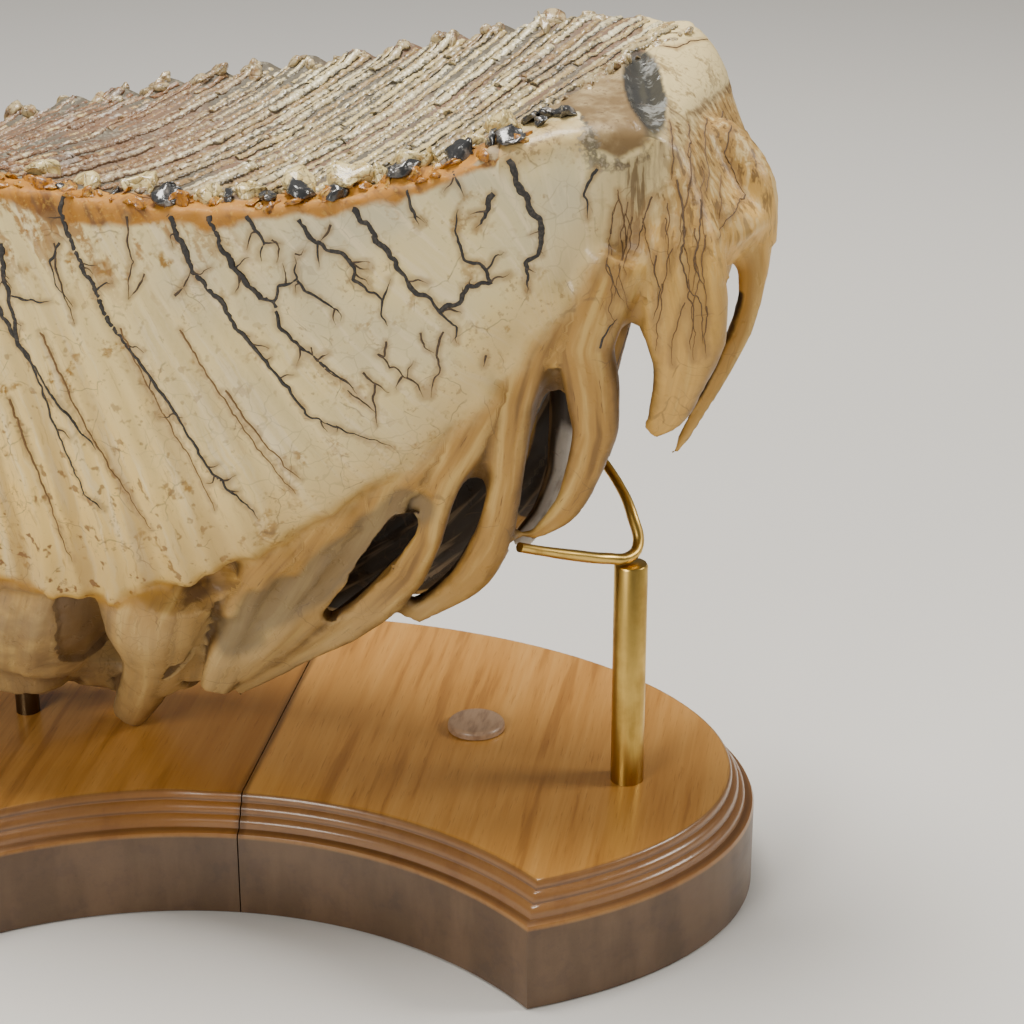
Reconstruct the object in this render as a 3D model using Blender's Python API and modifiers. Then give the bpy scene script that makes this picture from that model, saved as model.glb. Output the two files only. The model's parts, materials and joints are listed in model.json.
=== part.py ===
"""Fossil mammoth molar on a two-board oak plinth with brass supports.

Metres, +Z up.  X runs along the plinth, Y goes away from the hollowed front,
and the origin is the bottom centre of the whole object.
"""
import math

import bmesh
import bpy
from mathutils import Vector

MM = 0.001
GAP = 0.3 * MM                      # clearance between touching pieces

# Plinth: an oval board with a hollowed front edge, glued up from two boards
PLINTH_HALF_LENGTH = 117.6 * MM
PLINTH_HALF_DEPTH = 78.8 * MM
PLINTH_CENTRE_Y = -8.3 * MM
PLINTH_CORNER_X = 71.5 * MM         # where the hollow front meets the oval
PLINTH_WAIST_Y = -41.0 * MM         # deepest point of the hollow front
PLINTH_SIDE_HEIGHT = 21.8 * MM      # upright side, up to the moulding
PLINTH_HEIGHT = 30.0 * MM
SEAM_X = -2.8 * MM                  # glue line between the two boards
OVAL_STEPS = 56
HOLLOW_STEPS = 22
# moulding steps from the upright side inwards: (inward, upward) in mm
MOULDING = ((0.9, 0.9), (1.2, 0.5), (0.3, 1.9), (1.3, 0.7), (0.3, 2.0), (1.3, 0.6), (1.2, 1.6))

SOCKET_DEPTH = 10.0 * MM            # holes for the post, the peg and the button's stem

# Brass supports
POST_RADIUS = 3.97 * MM             # 5/16 inch bar
POST_PLACE = (87.2 * MM, -14.0 * MM)
POST_TOP = 87.0 * MM
FORK_WIRE_RADIUS = 1.35 * MM
FORK_TIP_SHARE = 0.85               # thickness of the wire at its tips
PEG_RADIUS = 3.0 * MM
PEG_PLACE = (-67.0 * MM, -2.0 * MM)
PEG_TOP = 41.3 * MM

# Button plug let into the top
BUTTON_RADIUS = 7.15 * MM
BUTTON_STEM_RADIUS = 4.7 * MM
BUTTON_HEIGHT = 1.9 * MM
BUTTON_PLACE = (47.0 * MM, 6.0 * MM)

# Molar
VOXEL = 2.0 * MM
SMOOTH_PASSES = 4
KEPT_SHARE = 0.088                  # of the remeshed triangles

# Crown sections along X, in mm: x, near edge y, far edge y, top z near and
# far, underside z near and far
CROWN_SECTIONS = (
    (-115.5, -27, 7, 136, 133, 104, 104),
    (-108, -36, 16, 151, 148, 94, 95),
    (-95, -43, 23, 165, 162, 87, 89),
    (-78, -47, 28, 177, 174.5, 84, 87),
    (-60, -49, 30, 183.5, 180.5, 82, 86),
    (-40, -51, 31, 184, 184, 81, 86),
    (-20, -53, 31, 182, 189, 85, 90),
    (0, -54, 31, 181.5, 192.5, 93, 97),
    (20, -54, 31, 183.5, 195.5, 105, 108),
    (40, -53, 30, 187.5, 200, 119, 121),
    (57, -50, 29, 192.5, 204.5, 134, 134),
    (72, -46, 28, 198, 208, 150, 148),
    (84, -42, 26, 198.5, 208.5, 160, 155),
    (94, -38, 23, 197, 207.5, 161, 154),
    (102, -34, 19, 189, 202, 158, 152),
    (107, -31, 14, 179, 188, 156, 151),
    (114, -26, 8, 174, 178, 154, 151),
)
CROWN_ENDS = ((-119.5, -11, 120), (118.8, -9, 165))

# Roots, in mm: (x, y, z, radius) along each one, and how flat it is across
NEAR_ROOTS = {
    "front_blade": (0.62, ((92.5, -31, 186, 9), (94, -34, 179, 10.5), (96, -36, 170, 12.5),
                           (99, -38, 159, 12), (100.6, -39, 151, 10.2), (100.2, -39, 145, 7.8),
                           (99, -38, 139, 5.6), (97, -37, 133.5, 4.2), (94.5, -36, 129.5, 3))),
    "front_rib": (0.9, ((101.5, -10, 190, 5), (106.5, -10, 183, 7), (110.5, -11, 176.5, 7.6),
                        (112, -12, 167, 6.3), (113, -13, 158.5, 4.6), (112.4, -13, 152, 3.9),
                        (111, -13.5, 146, 3.6), (108.6, -14, 140, 3.3), (105.4, -14.5, 133, 3),
                        (101.8, -15, 126, 2.7), (98, -15.8, 118.5, 2.2))),
    "second_band": (0.6, ((86, -42, 170, 8.5), (82, -43, 160, 8), (79.5, -42.5, 150, 7.6),
                          (81, -41.5, 140, 7.2), (81.6, -40.5, 130, 6.2), (79.4, -39, 121, 5.3),
                          (76.6, -37, 113.5, 4.9), (72.8, -35, 107.3, 4.5),
                          (68.6, -34, 103, 3.2), (65.5, -33, 101, 2.2))),
    "third_band": (0.8, ((74, -42, 162, 7.5), (67.5, -43, 149, 6.5), (64.5, -42.5, 137, 5.4),
                         (63, -41.5, 126, 5), (62.2, -40.5, 117.5, 4.6), (60.2, -39, 109, 5.1),
                         (58, -37, 101, 5.9), (53.5, -34.5, 92.5, 6.4), (48.8, -32.5, 87, 5.6),
                         (43.7, -31, 82, 4.4), (38.5, -29.5, 76.5, 2.8))),
    "fourth_band": (0.8, ((61, -43, 141, 7.5), (53.5, -43, 127, 6.6), (48.8, -42, 118, 5.5),
                          (46, -41, 110, 5), (43.8, -39, 101.5, 5), (39.3, -36.5, 92, 5.8),
                          (30.5, -33, 82, 6.4), (22.5, -30.5, 73.5, 5), (15, -28.5, 67, 3.5),
                          (5, -27, 59.5, 2.9), (-6, -25, 51.5, 2.2))),
    "fifth_band": (0.6, ((45.5, -43, 126, 8), (37.5, -42.5, 116, 8.4), (33.5, -41, 106, 8),
                         (28.4, -39, 96, 8), (21.5, -36, 86.5, 7.4), (14.5, -33.5, 78, 6.2),
                         (6.5, -31, 69, 5.2), (-2, -28, 59.5, 4.2))),
    "sixth_band": (0.6, ((27.5, -43, 111, 8), (20, -42, 100.5, 8.4), (14.5, -40, 90.5, 8),
                         (9, -37, 81, 7.2), (2.5, -34, 71.5, 6), (-4.2, -31, 62, 5),
                         (-8.5, -29, 54.5, 3.4))),
    "seventh_band": (0.7, ((13.5, -43, 100.5, 7), (6, -41.5, 90.5, 6.6), (2, -39, 83, 5.9),
                           (-1.5, -36.5, 74, 5.2), (-6.6, -33.5, 63.7, 4.4), (-10.5, -31, 55, 3))),
    "second_inner": (0.9, ((74, -26, 140, 5), (73, -25, 126, 4.4), (72, -25, 114, 4.2),
                           (68, -25, 103, 3.8), (62, -25, 95, 3.2))),
    "upper_wall": (0.5, ((76, -36, 153, 9), (64, -37, 137, 9), (55, -37, 125, 8.5),
                         (46, -37, 117, 8), (36, -37, 109, 8), (24, -37, 100, 8), (10, -37, 92, 8),
                         (-6, -37, 87, 8))),
    "hollow_back": (0.8, ((-4, -33, 96, 9.5), (-7, -30, 80, 9), (-12, -24, 66, 8),
                          (-17, -17, 54, 6))),
    "foot": (0.75, ((-17, -42, 90, 14.5), (-21, -39, 80, 13.5), (-23.2, -33, 71, 11.2),
                    (-25, -26, 62.5, 9.4), (-29, -18, 53, 8), (-34, -10, 42.5, 7),
                    (-39, -3.5, 33.6, 6))),
    "heel": (0.9, ((-50, -18, 90, 26), (-56, -15, 74, 24), (-60, -12, 63, 20), (-63, -9, 54, 15.5),
                   (-64, -8, 43.3, 12.5))),
    "heel_toe": (1.0, ((-64, -4, 53, 11), (-50, 2, 49, 12), (-40, 6, 47.5, 10.5))),
    "foot_wall": (0.8, ((-8, -32, 86, 9), (-13, -24, 68, 9), (-20, -14, 54, 7.5), (-24, -10, 49, 6))),
    "inner_wall": (0.5, ((72, -12, 132, 12), (64, -13, 117, 12), (55, -13, 105, 12), (46, -13, 95, 12),
                         (36, -12, 86.5, 11.5), (25, -12, 79, 11), (13, -12, 71, 10))),
    "inner_roof": (0.7, ((70, -12, 146, 12), (54, -12, 126, 12), (38, -12, 112, 12), (20, -12, 98, 12),
                         (4, -12, 88, 12))),
}
FAR_ROOTS = {
    "far_front_blade": (0.7, ((98, 10, 178, 12), (100, 15, 163, 11), (99, 16, 149, 8),
                              (97, 13, 135, 5.4), (95, 10, 124, 3.6))),
    "far_second": (0.6, ((79, 18, 166, 9), (80, 17, 150, 7.4), (78, 14, 134, 6.4),
                         (75, 10, 120, 5.4), (68, 7, 108, 4.4), (58, 5, 98, 3))),
    "far_third": (0.8, ((62, 19, 150, 9), (64, 19, 132, 7), (61, 15, 115, 5.8), (54, 10, 99, 4.8),
                        (44, 6, 85, 3.4))),
    "far_fourth": (0.8, ((44, 19, 134, 9), (46, 19, 116, 7), (42, 15, 100, 5.8), (33, 10, 85, 4.6),
                         (22, 6, 72, 3.4))),
    "far_fifth": (0.8, ((25, 19, 118, 10), (25, 19, 102, 7.6), (20, 14, 86, 6), (11, 9, 72, 4.8),
                        (1, 5, 59, 3.4))),
    "far_sixth": (0.8, ((3, 18, 104, 11), (1, 18, 88, 8.4), (-6, 12, 70, 6.4), (-14, 7, 55, 4.8))),
    "far_heel": (0.9, ((-26, 12, 98, 18), (-33, 12, 80, 16), (-40, 10, 64, 14), (-45, 8, 50, 13),
                       (-46, 7.5, 36.5, 10))),
}
# Open slits between the near roots, written the same way
SLITS = {
    "front_slit": (2.4, ((73, -40, 138, 1.8), (72.6, -40, 135, 3.2), (72, -39.5, 128, 4.3),
                         (70.6, -38, 119, 4.1), (69.4, -37, 113.5, 3.6), (67.4, -36, 108, 2.6),
                         (65, -35, 102.5, 1.5))),
    "middle_slit": (3.4, ((54.7, -40, 115, 1.8), (53.8, -40, 112, 2.8), (52.3, -39, 106, 2.9),
                          (50, -38, 99.5, 2.7), (46.5, -36, 92, 2.3), (42, -34, 86, 1.8),
                          (38.5, -33, 82.5, 1.2))),
    "back_slit": (4.0, ((40, -40, 108.5, 1.4), (38.2, -39, 104, 2.1), (35, -38, 98.5, 2.3),
                        (31.2, -37, 93, 2), (26.6, -35, 86.5, 1.7), (23, -34, 82, 1.2))),
}


def clear_scene():
    for item in list(bpy.data.objects):
        bpy.data.objects.remove(item, do_unlink=True)


def make_collection(name):
    collection = bpy.data.collections.new(name)
    bpy.context.scene.collection.children.link(collection)
    return collection


def make_material(name, colour, roughness, metallic=0.0):
    material = bpy.data.materials.new(name)
    material.use_nodes = True
    shader = material.node_tree.nodes["Principled BSDF"]
    shader.inputs["Base Color"].default_value = (*colour, 1.0)
    shader.inputs["Roughness"].default_value = roughness
    shader.inputs["Metallic"].default_value = metallic
    return material


def add_object(name, mesh, collection, material=None):
    item = bpy.data.objects.new(name, mesh)
    collection.objects.link(item)
    if material:
        mesh.materials.clear()
        mesh.materials.append(material)
    return item


def evaluated_mesh(item):
    """The mesh of an object after its modifiers, welded where caps are loose."""
    graph = bpy.context.evaluated_depsgraph_get()
    mesh = bpy.data.meshes.new_from_object(item.evaluated_get(graph), depsgraph=graph)
    shape = bmesh.new()
    shape.from_mesh(mesh)
    bmesh.ops.remove_doubles(shape, verts=shape.verts, dist=1e-6)
    bmesh.ops.recalc_face_normals(shape, faces=shape.faces)
    shape.to_mesh(mesh)
    shape.free()
    return mesh


def shade(mesh, angle=40):
    mesh.shade_smooth()
    mesh.set_sharp_from_angle(angle=math.radians(angle))


# Molar

def crown_ring(x, near, far, top_near, top_far, base_near, base_far):
    """One closed section of the crown, from the near top edge over the top."""
    wide = far - near
    top = lambda t: top_near + (top_far - top_near) * t
    base = lambda t: base_near + (base_far - base_near) * t
    high = top_near - base_near
    high_far = top_far - base_far
    points = (
        (near - 0.4, top(0) - 5.0), (near + 0.8, top(0) - 0.8), (near + 5.0, top(0)),
        (near + 0.33 * wide, top(0.33) - 1.8), (near + 0.66 * wide, top(0.66) - 1.8),
        (far - 5.0, top(1)), (far - 0.8, top(1) - 0.8), (far + 0.4, top(1) - 5.0),
        (far + 1.5, base_far + 0.62 * high_far), (far + 1.0, base_far + 0.3 * high_far),
        (far - 0.8, base_far + 5.0), (far - 5.5, base_far),
        (far - 0.25 * wide, base(0.75)), (near + 0.5 * wide, base(0.5) + 2.0),
        (near + 0.25 * wide, base(0.25)), (near + 5.5, base_near), (near + 0.8, base_near + 5.0),
        (near - 1.0, base_near + 0.3 * high), (near - 1.5, base_near + 0.62 * high),
    )
    return [Vector((x, y, z)) * MM for y, z in points]


def build_crown(collection):
    shape = bmesh.new()
    rings = [[shape.verts.new(point) for point in crown_ring(*section)] for section in CROWN_SECTIONS]
    count = len(rings[0])
    for left, right in zip(rings, rings[1:]):
        for i in range(count):
            j = (i + 1) % count
            shape.faces.new((left[i], left[j], right[j], right[i]))
    for ring, end in zip((rings[0], rings[-1]), CROWN_ENDS):
        tip = shape.verts.new(Vector(end) * MM)
        for i in range(count):
            shape.faces.new((ring[i], ring[(i + 1) % count], tip))
    bmesh.ops.recalc_face_normals(shape, faces=shape.faces)
    mesh = bpy.data.meshes.new("crown_cage")
    shape.to_mesh(mesh)
    shape.free()
    crown = add_object("crown_cage", mesh, collection)
    smooth = crown.modifiers.new("Smooth cage", "SUBSURF")
    smooth.levels = smooth.render_levels = 2
    return crown


def build_root(name, flatness, points, collection):
    """A tapered round root along its points, squashed across the tooth."""
    curve = bpy.data.curves.new(name, "CURVE")
    curve.dimensions = "3D"
    curve.bevel_depth = MM
    curve.bevel_resolution = 3
    curve.resolution_u = 5
    curve.use_fill_caps = True
    middle = points[0][1]
    spline = curve.splines.new("BEZIER")
    spline.bezier_points.add(len(points) - 1)
    for knot, (x, y, z, radius) in zip(spline.bezier_points, points):
        knot.co = Vector((x, middle + (y - middle) / flatness, z)) * MM
        knot.radius = radius
        knot.handle_left_type = knot.handle_right_type = "AUTO"
    root = bpy.data.objects.new(name, curve)
    collection.objects.link(root)
    root.scale = (1.0, flatness, 1.0)
    root.location = (0.0, middle * (1.0 - flatness) * MM, 0.0)
    return root


def join_grown(name, grown):
    """One mesh of several closed shapes; the shapes themselves are removed."""
    shape = bmesh.new()
    for piece in grown:
        mesh = evaluated_mesh(piece)
        mesh.transform(piece.matrix_world)
        shape.from_mesh(mesh)
        bpy.data.meshes.remove(mesh)
        bpy.data.objects.remove(piece, do_unlink=True)
    mesh = bpy.data.meshes.new(name)
    shape.to_mesh(mesh)
    shape.free()
    return mesh


def grow_skin(item, name):
    skin = item.modifiers.new(name, "REMESH")
    skin.mode = "VOXEL"
    skin.voxel_size = VOXEL


def build_molar(collection, guides, material):
    """Crown and roots grown into one skin, with the slits cut out of it."""
    grown = [build_crown(guides)]
    for roots in (NEAR_ROOTS, FAR_ROOTS):
        grown += [build_root(name, flatness, points, guides) for name, (flatness, points) in roots.items()]
    gaps = [build_root(name, flatness, points, guides) for name, (flatness, points) in SLITS.items()]
    bpy.context.view_layer.update()
    molar = add_object("molar", join_grown("molar", grown), collection, material)
    slits = add_object("slits", join_grown("slits", gaps), guides)
    slits.hide_render = True
    slits.display_type = "WIRE"
    grow_skin(molar, "One skin")
    cut = molar.modifiers.new("Open slits", "BOOLEAN")
    cut.operation = "DIFFERENCE"
    cut.object = slits
    grow_skin(molar, "Even skin")
    soften = molar.modifiers.new("Soften", "SMOOTH")
    soften.factor = 0.5
    soften.iterations = SMOOTH_PASSES
    thin = molar.modifiers.new("Fewer faces", "DECIMATE")
    thin.ratio = KEPT_SHARE
    return molar


# Plinth

def plinth_outline():
    """Corner points of the plinth's plan, counter-clockwise from the right corner."""
    start = math.acos(PLINTH_CORNER_X / PLINTH_HALF_LENGTH)
    corner_y = PLINTH_CENTRE_Y - PLINTH_HALF_DEPTH * math.sin(start)
    points = []
    for step in range(OVAL_STEPS + 1):
        angle = -start + (math.pi + 2 * start) * step / OVAL_STEPS
        points.append((PLINTH_HALF_LENGTH * math.cos(angle),
                       PLINTH_CENTRE_Y + PLINTH_HALF_DEPTH * math.sin(angle)))
    rise = PLINTH_WAIST_Y - corner_y
    radius = (PLINTH_CORNER_X ** 2 + rise ** 2) / (2 * rise)
    reach = math.asin(PLINTH_CORNER_X / radius)
    for step in range(1, HOLLOW_STEPS):
        angle = -reach + 2 * reach * step / HOLLOW_STEPS
        points.append((radius * math.sin(angle), PLINTH_WAIST_Y - radius + radius * math.cos(angle)))
    return points


def build_plinth_blank():
    """The whole plinth before it is parted at the seam."""
    shape = bmesh.new()
    foot = shape.faces.new([shape.verts.new((x, y, 0.0)) for x, y in plinth_outline()])
    lifted = bmesh.ops.extrude_face_region(shape, geom=[foot])["geom"]
    verts = [part for part in lifted if isinstance(part, bmesh.types.BMVert)]
    top = next(part for part in lifted if isinstance(part, bmesh.types.BMFace))
    bmesh.ops.translate(shape, vec=(0.0, 0.0, PLINTH_SIDE_HEIGHT), verts=verts)
    bmesh.ops.recalc_face_normals(shape, faces=shape.faces)
    for inward, upward in MOULDING:
        bmesh.ops.inset_individual(shape, faces=[top], thickness=inward * MM, depth=upward * MM,
                                   use_even_offset=True)
    mesh = bpy.data.meshes.new("plinth_blank")
    shape.to_mesh(mesh)
    shape.free()
    return mesh


def box_cutter(name, low, high, cutters):
    shape = bmesh.new()
    bmesh.ops.create_cube(shape, size=1.0)
    for vert in shape.verts:
        vert.co = Vector(low[i] + (vert.co[i] + 0.5) * (high[i] - low[i]) for i in range(3))
    mesh = bpy.data.meshes.new(name)
    shape.to_mesh(mesh)
    shape.free()
    cutter = add_object(name, mesh, cutters)
    cutter.display_type = "WIRE"
    cutter.hide_render = True
    return cutter


def rod(name, radius, low, high, segments):
    shape = bmesh.new()
    bmesh.ops.create_cone(shape, cap_ends=True, segments=segments, radius1=radius, radius2=radius,
                          depth=high - low)
    bmesh.ops.translate(shape, vec=(0.0, 0.0, (low + high) / 2), verts=shape.verts)
    mesh = bpy.data.meshes.new(name)
    shape.to_mesh(mesh)
    shape.free()
    return mesh


def subtract(item, cutter):
    cut = item.modifiers.new("Cut " + cutter.name, "BOOLEAN")
    cut.operation = "DIFFERENCE"
    cut.object = cutter


def build_plinth(collection, cutters, wood):
    reach = 0.2
    blank = build_plinth_blank()
    sockets = (("post_hole", POST_PLACE, POST_RADIUS), ("peg_hole", PEG_PLACE, PEG_RADIUS),
               ("button_hole", BUTTON_PLACE, BUTTON_STEM_RADIUS))
    for side, sign in (("left", -1), ("right", 1)):
        mesh = blank.copy()
        board = add_object("plinth_board_" + side, mesh, collection, wood)
        ends = sorted((-sign * reach, SEAM_X + sign * GAP / 2))
        other = box_cutter("not_" + side, (ends[0], -reach, -reach), (ends[1], reach, reach), cutters)
        subtract(board, other)
        for name, place, radius in sockets:
            if place[0] * sign < 0:
                continue
            hole = add_object(name, rod(name, radius + GAP, PLINTH_HEIGHT - SOCKET_DEPTH, 0.1, 24), cutters)
            hole.location = (*place, 0.0)
            hole.display_type = "WIRE"
            hole.hide_render = True
            subtract(board, hole)
        shade(mesh, 30)


# Brass and button

def build_post(collection, brass):
    """The right post, standing in its socket."""
    foot = PLINTH_HEIGHT - SOCKET_DEPTH + GAP
    mesh = rod("post_right", POST_RADIUS, foot, POST_TOP, 28)
    post = add_object("post_right", mesh, collection, brass)
    post.location = (*POST_PLACE, 0.0)
    edge = post.modifiers.new("Eased ends", "BEVEL")
    edge.width = 0.5 * MM
    edge.segments = 2
    edge.limit_method = "ANGLE"
    shade(mesh)
    return post


def build_fork(collection, brass):
    """One bent wire: it lies on the post and rises to a tip on either side."""
    x, y = POST_PLACE[0] / MM, POST_PLACE[1] / MM
    rest = POST_TOP / MM + FORK_WIRE_RADIUS / MM + 0.3
    route = ((64.4, -36.6, 99.3), (68.6, -31.8, 96.6), (75.5, -24.5, 92.7), (82.0, -18.0, rest + 0.9),
             (x - 0.6, y - 0.6, rest), (x + 1.2, y + 3.0, rest + 1.6), (86.6, -7.6, 96.2),
             (83.2, -2.6, 101.0), (74.2, 6.9, 108.6))
    curve = bpy.data.curves.new("fork_wire", "CURVE")
    curve.dimensions = "3D"
    curve.bevel_depth = FORK_WIRE_RADIUS
    curve.bevel_resolution = 2
    curve.resolution_u = 4
    curve.use_fill_caps = True
    spline = curve.splines.new("BEZIER")
    spline.bezier_points.add(len(route) - 1)
    last = len(route) - 1
    for i, (knot, place) in enumerate(zip(spline.bezier_points, route)):
        knot.co = Vector(place) * MM
        knot.radius = 1.0 if 1 < i < last - 1 else FORK_TIP_SHARE
        knot.handle_left_type = knot.handle_right_type = "AUTO"
    bent = bpy.data.objects.new("fork_route", curve)
    collection.objects.link(bent)
    bpy.context.view_layer.update()
    mesh = evaluated_mesh(bent)
    bpy.data.objects.remove(bent, do_unlink=True)
    shade(mesh)
    return add_object("fork_wire", mesh, collection, brass)


def build_peg(collection, brass):
    """The short left peg with its domed end under the heel of the tooth."""
    foot = PLINTH_HEIGHT - SOCKET_DEPTH + GAP
    mesh = rod("peg_left", PEG_RADIUS, foot, PEG_TOP, 24)
    peg = add_object("peg_left", mesh, collection, brass)
    peg.location = (*PEG_PLACE, 0.0)
    edge = peg.modifiers.new("Domed end", "BEVEL")
    edge.width = 1.4 * MM
    edge.segments = 3
    edge.limit_method = "ANGLE"
    shade(mesh)
    return peg


def build_button(collection, walnut):
    """A turned button plug: a low head over a short stem."""
    stem_foot = PLINTH_HEIGHT - SOCKET_DEPTH + GAP
    head_foot = PLINTH_HEIGHT + GAP
    head_top = head_foot + BUTTON_HEIGHT
    ease = 0.9 * MM
    profile = ((0.0, head_top), (BUTTON_RADIUS - ease, head_top), (BUTTON_RADIUS - 0.25 * ease, head_top - 0.3 * ease),
               (BUTTON_RADIUS, head_top - ease), (BUTTON_RADIUS, head_foot),
               (BUTTON_STEM_RADIUS, head_foot), (BUTTON_STEM_RADIUS, stem_foot), (0.0, stem_foot))
    shape = bmesh.new()
    verts = [shape.verts.new((x, 0.0, z)) for x, z in profile]
    for one, two in zip(verts, verts[1:]):
        shape.edges.new((one, two))
    mesh = bpy.data.meshes.new("button_plug")
    shape.to_mesh(mesh)
    shape.free()
    button = add_object("button_plug", mesh, collection, walnut)
    button.location = (*BUTTON_PLACE, 0.0)
    turn = button.modifiers.new("Turned", "SCREW")
    turn.steps = turn.render_steps = 28
    turn.use_merge_vertices = True
    turn.merge_threshold = 1e-5
    return button


def main():
    clear_scene()
    parts = make_collection("mammoth_molar_on_stand")
    cutters = make_collection("cutters")
    guides = make_collection("guides")
    ivory = make_material("fossil_enamel", (0.60, 0.50, 0.33), 0.35)
    wood = make_material("oiled_oak", (0.36, 0.19, 0.08), 0.35)
    brass = make_material("dull_brass", (0.55, 0.42, 0.16), 0.38, 1.0)
    walnut = make_material("dark_button", (0.20, 0.13, 0.08), 0.45)
    build_molar(parts, guides, ivory)
    build_plinth(parts, cutters, wood)
    build_post(parts, brass)
    build_fork(parts, brass)
    build_peg(parts, brass)
    build_button(parts, walnut)
    bpy.data.collections.remove(guides)


main()
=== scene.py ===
import json
import math
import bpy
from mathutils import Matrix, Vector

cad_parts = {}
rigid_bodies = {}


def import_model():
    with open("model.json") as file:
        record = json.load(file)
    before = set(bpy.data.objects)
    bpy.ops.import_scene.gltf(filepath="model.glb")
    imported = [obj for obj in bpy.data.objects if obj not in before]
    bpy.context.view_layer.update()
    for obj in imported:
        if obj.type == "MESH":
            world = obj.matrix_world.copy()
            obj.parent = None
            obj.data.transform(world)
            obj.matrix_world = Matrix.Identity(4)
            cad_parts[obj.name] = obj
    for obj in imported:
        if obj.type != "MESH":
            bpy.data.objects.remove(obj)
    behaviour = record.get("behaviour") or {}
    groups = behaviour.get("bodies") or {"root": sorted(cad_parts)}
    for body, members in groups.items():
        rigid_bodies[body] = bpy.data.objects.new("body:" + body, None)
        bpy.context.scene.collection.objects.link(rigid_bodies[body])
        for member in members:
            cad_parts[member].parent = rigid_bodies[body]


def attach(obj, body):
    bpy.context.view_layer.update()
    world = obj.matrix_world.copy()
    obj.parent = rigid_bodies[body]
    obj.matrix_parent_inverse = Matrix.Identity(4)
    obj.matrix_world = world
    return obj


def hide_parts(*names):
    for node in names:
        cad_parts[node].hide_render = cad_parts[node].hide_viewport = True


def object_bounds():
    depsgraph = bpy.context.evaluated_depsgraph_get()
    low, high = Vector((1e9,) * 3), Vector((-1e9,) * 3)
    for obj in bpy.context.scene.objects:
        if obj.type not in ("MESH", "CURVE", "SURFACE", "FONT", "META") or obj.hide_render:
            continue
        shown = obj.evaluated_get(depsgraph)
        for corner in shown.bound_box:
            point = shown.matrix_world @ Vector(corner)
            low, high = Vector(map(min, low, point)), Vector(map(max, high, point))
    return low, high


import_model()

from types import SimpleNamespace

import bmesh
import bpy
import numpy as np
from mathutils import Vector
from mathutils.bvhtree import BVHTree

mm = 0.001
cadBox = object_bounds()
margin = 0.2 * mm               # how far the tooth stays inside the CAD box
highest = cadBox[1][2] - margin
weldGap = 1e-6


# Small helpers for meshes

def placed(name, data):
    # an object for a mesh, curve, lamp or camera, in the scene
    piece = bpy.data.objects.new(name, data)
    bpy.context.scene.collection.objects.link(piece)
    return piece


def meshObject(name, verts, faces, material=None):
    mesh = bpy.data.meshes.new(name)
    mesh.from_pydata([tuple(v) for v in verts], [], [tuple(f) for f in faces])
    mesh.update()
    if material:
        mesh.materials.append(material)
    mesh.shade_smooth()
    return placed(name, mesh)


def faceOutwards(mesh):
    shape = bmesh.new()
    shape.from_mesh(mesh)
    bmesh.ops.recalc_face_normals(shape, faces=shape.faces)
    shape.to_mesh(mesh)
    shape.free()


def ringFaces(rings, count):
    # quads between closed rings of points that follow one another
    return [(r * count + i, r * count + (i + 1) % count, (r + 1) * count + (i + 1) % count,
             (r + 1) * count + i)
            for r in range(rings - 1) for i in range(count)]


def evaluatedMesh(piece):
    graph = bpy.context.evaluated_depsgraph_get()
    return bpy.data.meshes.new_from_object(piece.evaluated_get(graph), depsgraph=graph)


def readVectors(mesh, field="co"):
    flat = np.zeros(len(mesh.vertices) * 3, np.float32)
    mesh.vertices.foreach_get(field, flat)
    return flat.reshape(-1, 3).astype(float)


def writeValue(mesh, name, values):
    values = np.asarray(values, np.float32)
    kind, field = ("FLOAT_VECTOR", "vector") if values.ndim == 2 else ("FLOAT", "value")
    layer = mesh.attributes.get(name) or mesh.attributes.new(name, kind, "POINT")
    layer.data.foreach_set(field, values.ravel())


def tubeCurve(name, knots, girth, sides, steps):
    # a round tube through smooth knots; each knot is a place and its share of the girth
    curve = bpy.data.curves.new(name, "CURVE")
    curve.dimensions = "3D"
    curve.bevel_depth = girth
    curve.bevel_resolution = sides
    curve.resolution_u = steps
    curve.use_fill_caps = True
    spline = curve.splines.new("BEZIER")
    spline.bezier_points.add(len(knots) - 1)
    for knot, (place, share) in zip(spline.bezier_points, knots):
        knot.co = place
        knot.radius = share
        knot.handle_left_type = knot.handle_right_type = "AUTO"
    return placed(name, curve)


def joinGrown(name, grown):
    # one object of several closed shapes; the shapes themselves are removed
    shape = bmesh.new()
    for piece in grown:
        mesh = evaluatedMesh(piece)
        mesh.transform(piece.matrix_world)
        shape.from_mesh(mesh)
        bpy.data.meshes.remove(mesh)
        bpy.data.objects.remove(piece, do_unlink=True)
    bmesh.ops.remove_doubles(shape, verts=shape.verts, dist=weldGap)
    bmesh.ops.recalc_face_normals(shape, faces=shape.faces)
    mesh = bpy.data.meshes.new(name)
    shape.to_mesh(mesh)
    shape.free()
    return placed(name, mesh)


def smoothStep(low, high, value):
    share = np.clip((value - low) / (high - low), 0, 1)
    return share * share * (3 - 2 * share)


def between(one, other, share):
    return one + (other - one) * share


def follow(value, line, by=0, to=1):
    # reads one column of a table by another, for any value along it
    line = np.array(line, float)
    if line[0, by] > line[-1, by]:
        line = line[::-1]
    return np.interp(value, line[:, by], line[:, to])


def lumps(points, size, seed):
    # smooth value noise in -1..1, one cell every `size`; large odd numbers mix each corner into its value
    place = points / size + seed * 17.31
    cell = np.floor(place).astype(np.int64)
    part = place - cell
    part = part * part * (3 - 2 * part)
    total = np.zeros(len(points))
    for corner in range(8):
        step = np.array([(corner >> axis) & 1 for axis in range(3)])
        key = (cell + step) @ np.array([73856093, 19349663, 83492791]) + seed * 668265263
        key = (key ^ (key >> 13)) * 1274126177 & 0x7FFFFFFF
        key = (key ^ (key >> 16)) & 0xFFFF
        weight = np.prod(np.where(step == 1, part, 1 - part), axis=1)
        total += weight * (key / 32767.5 - 1)
    return total


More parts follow.
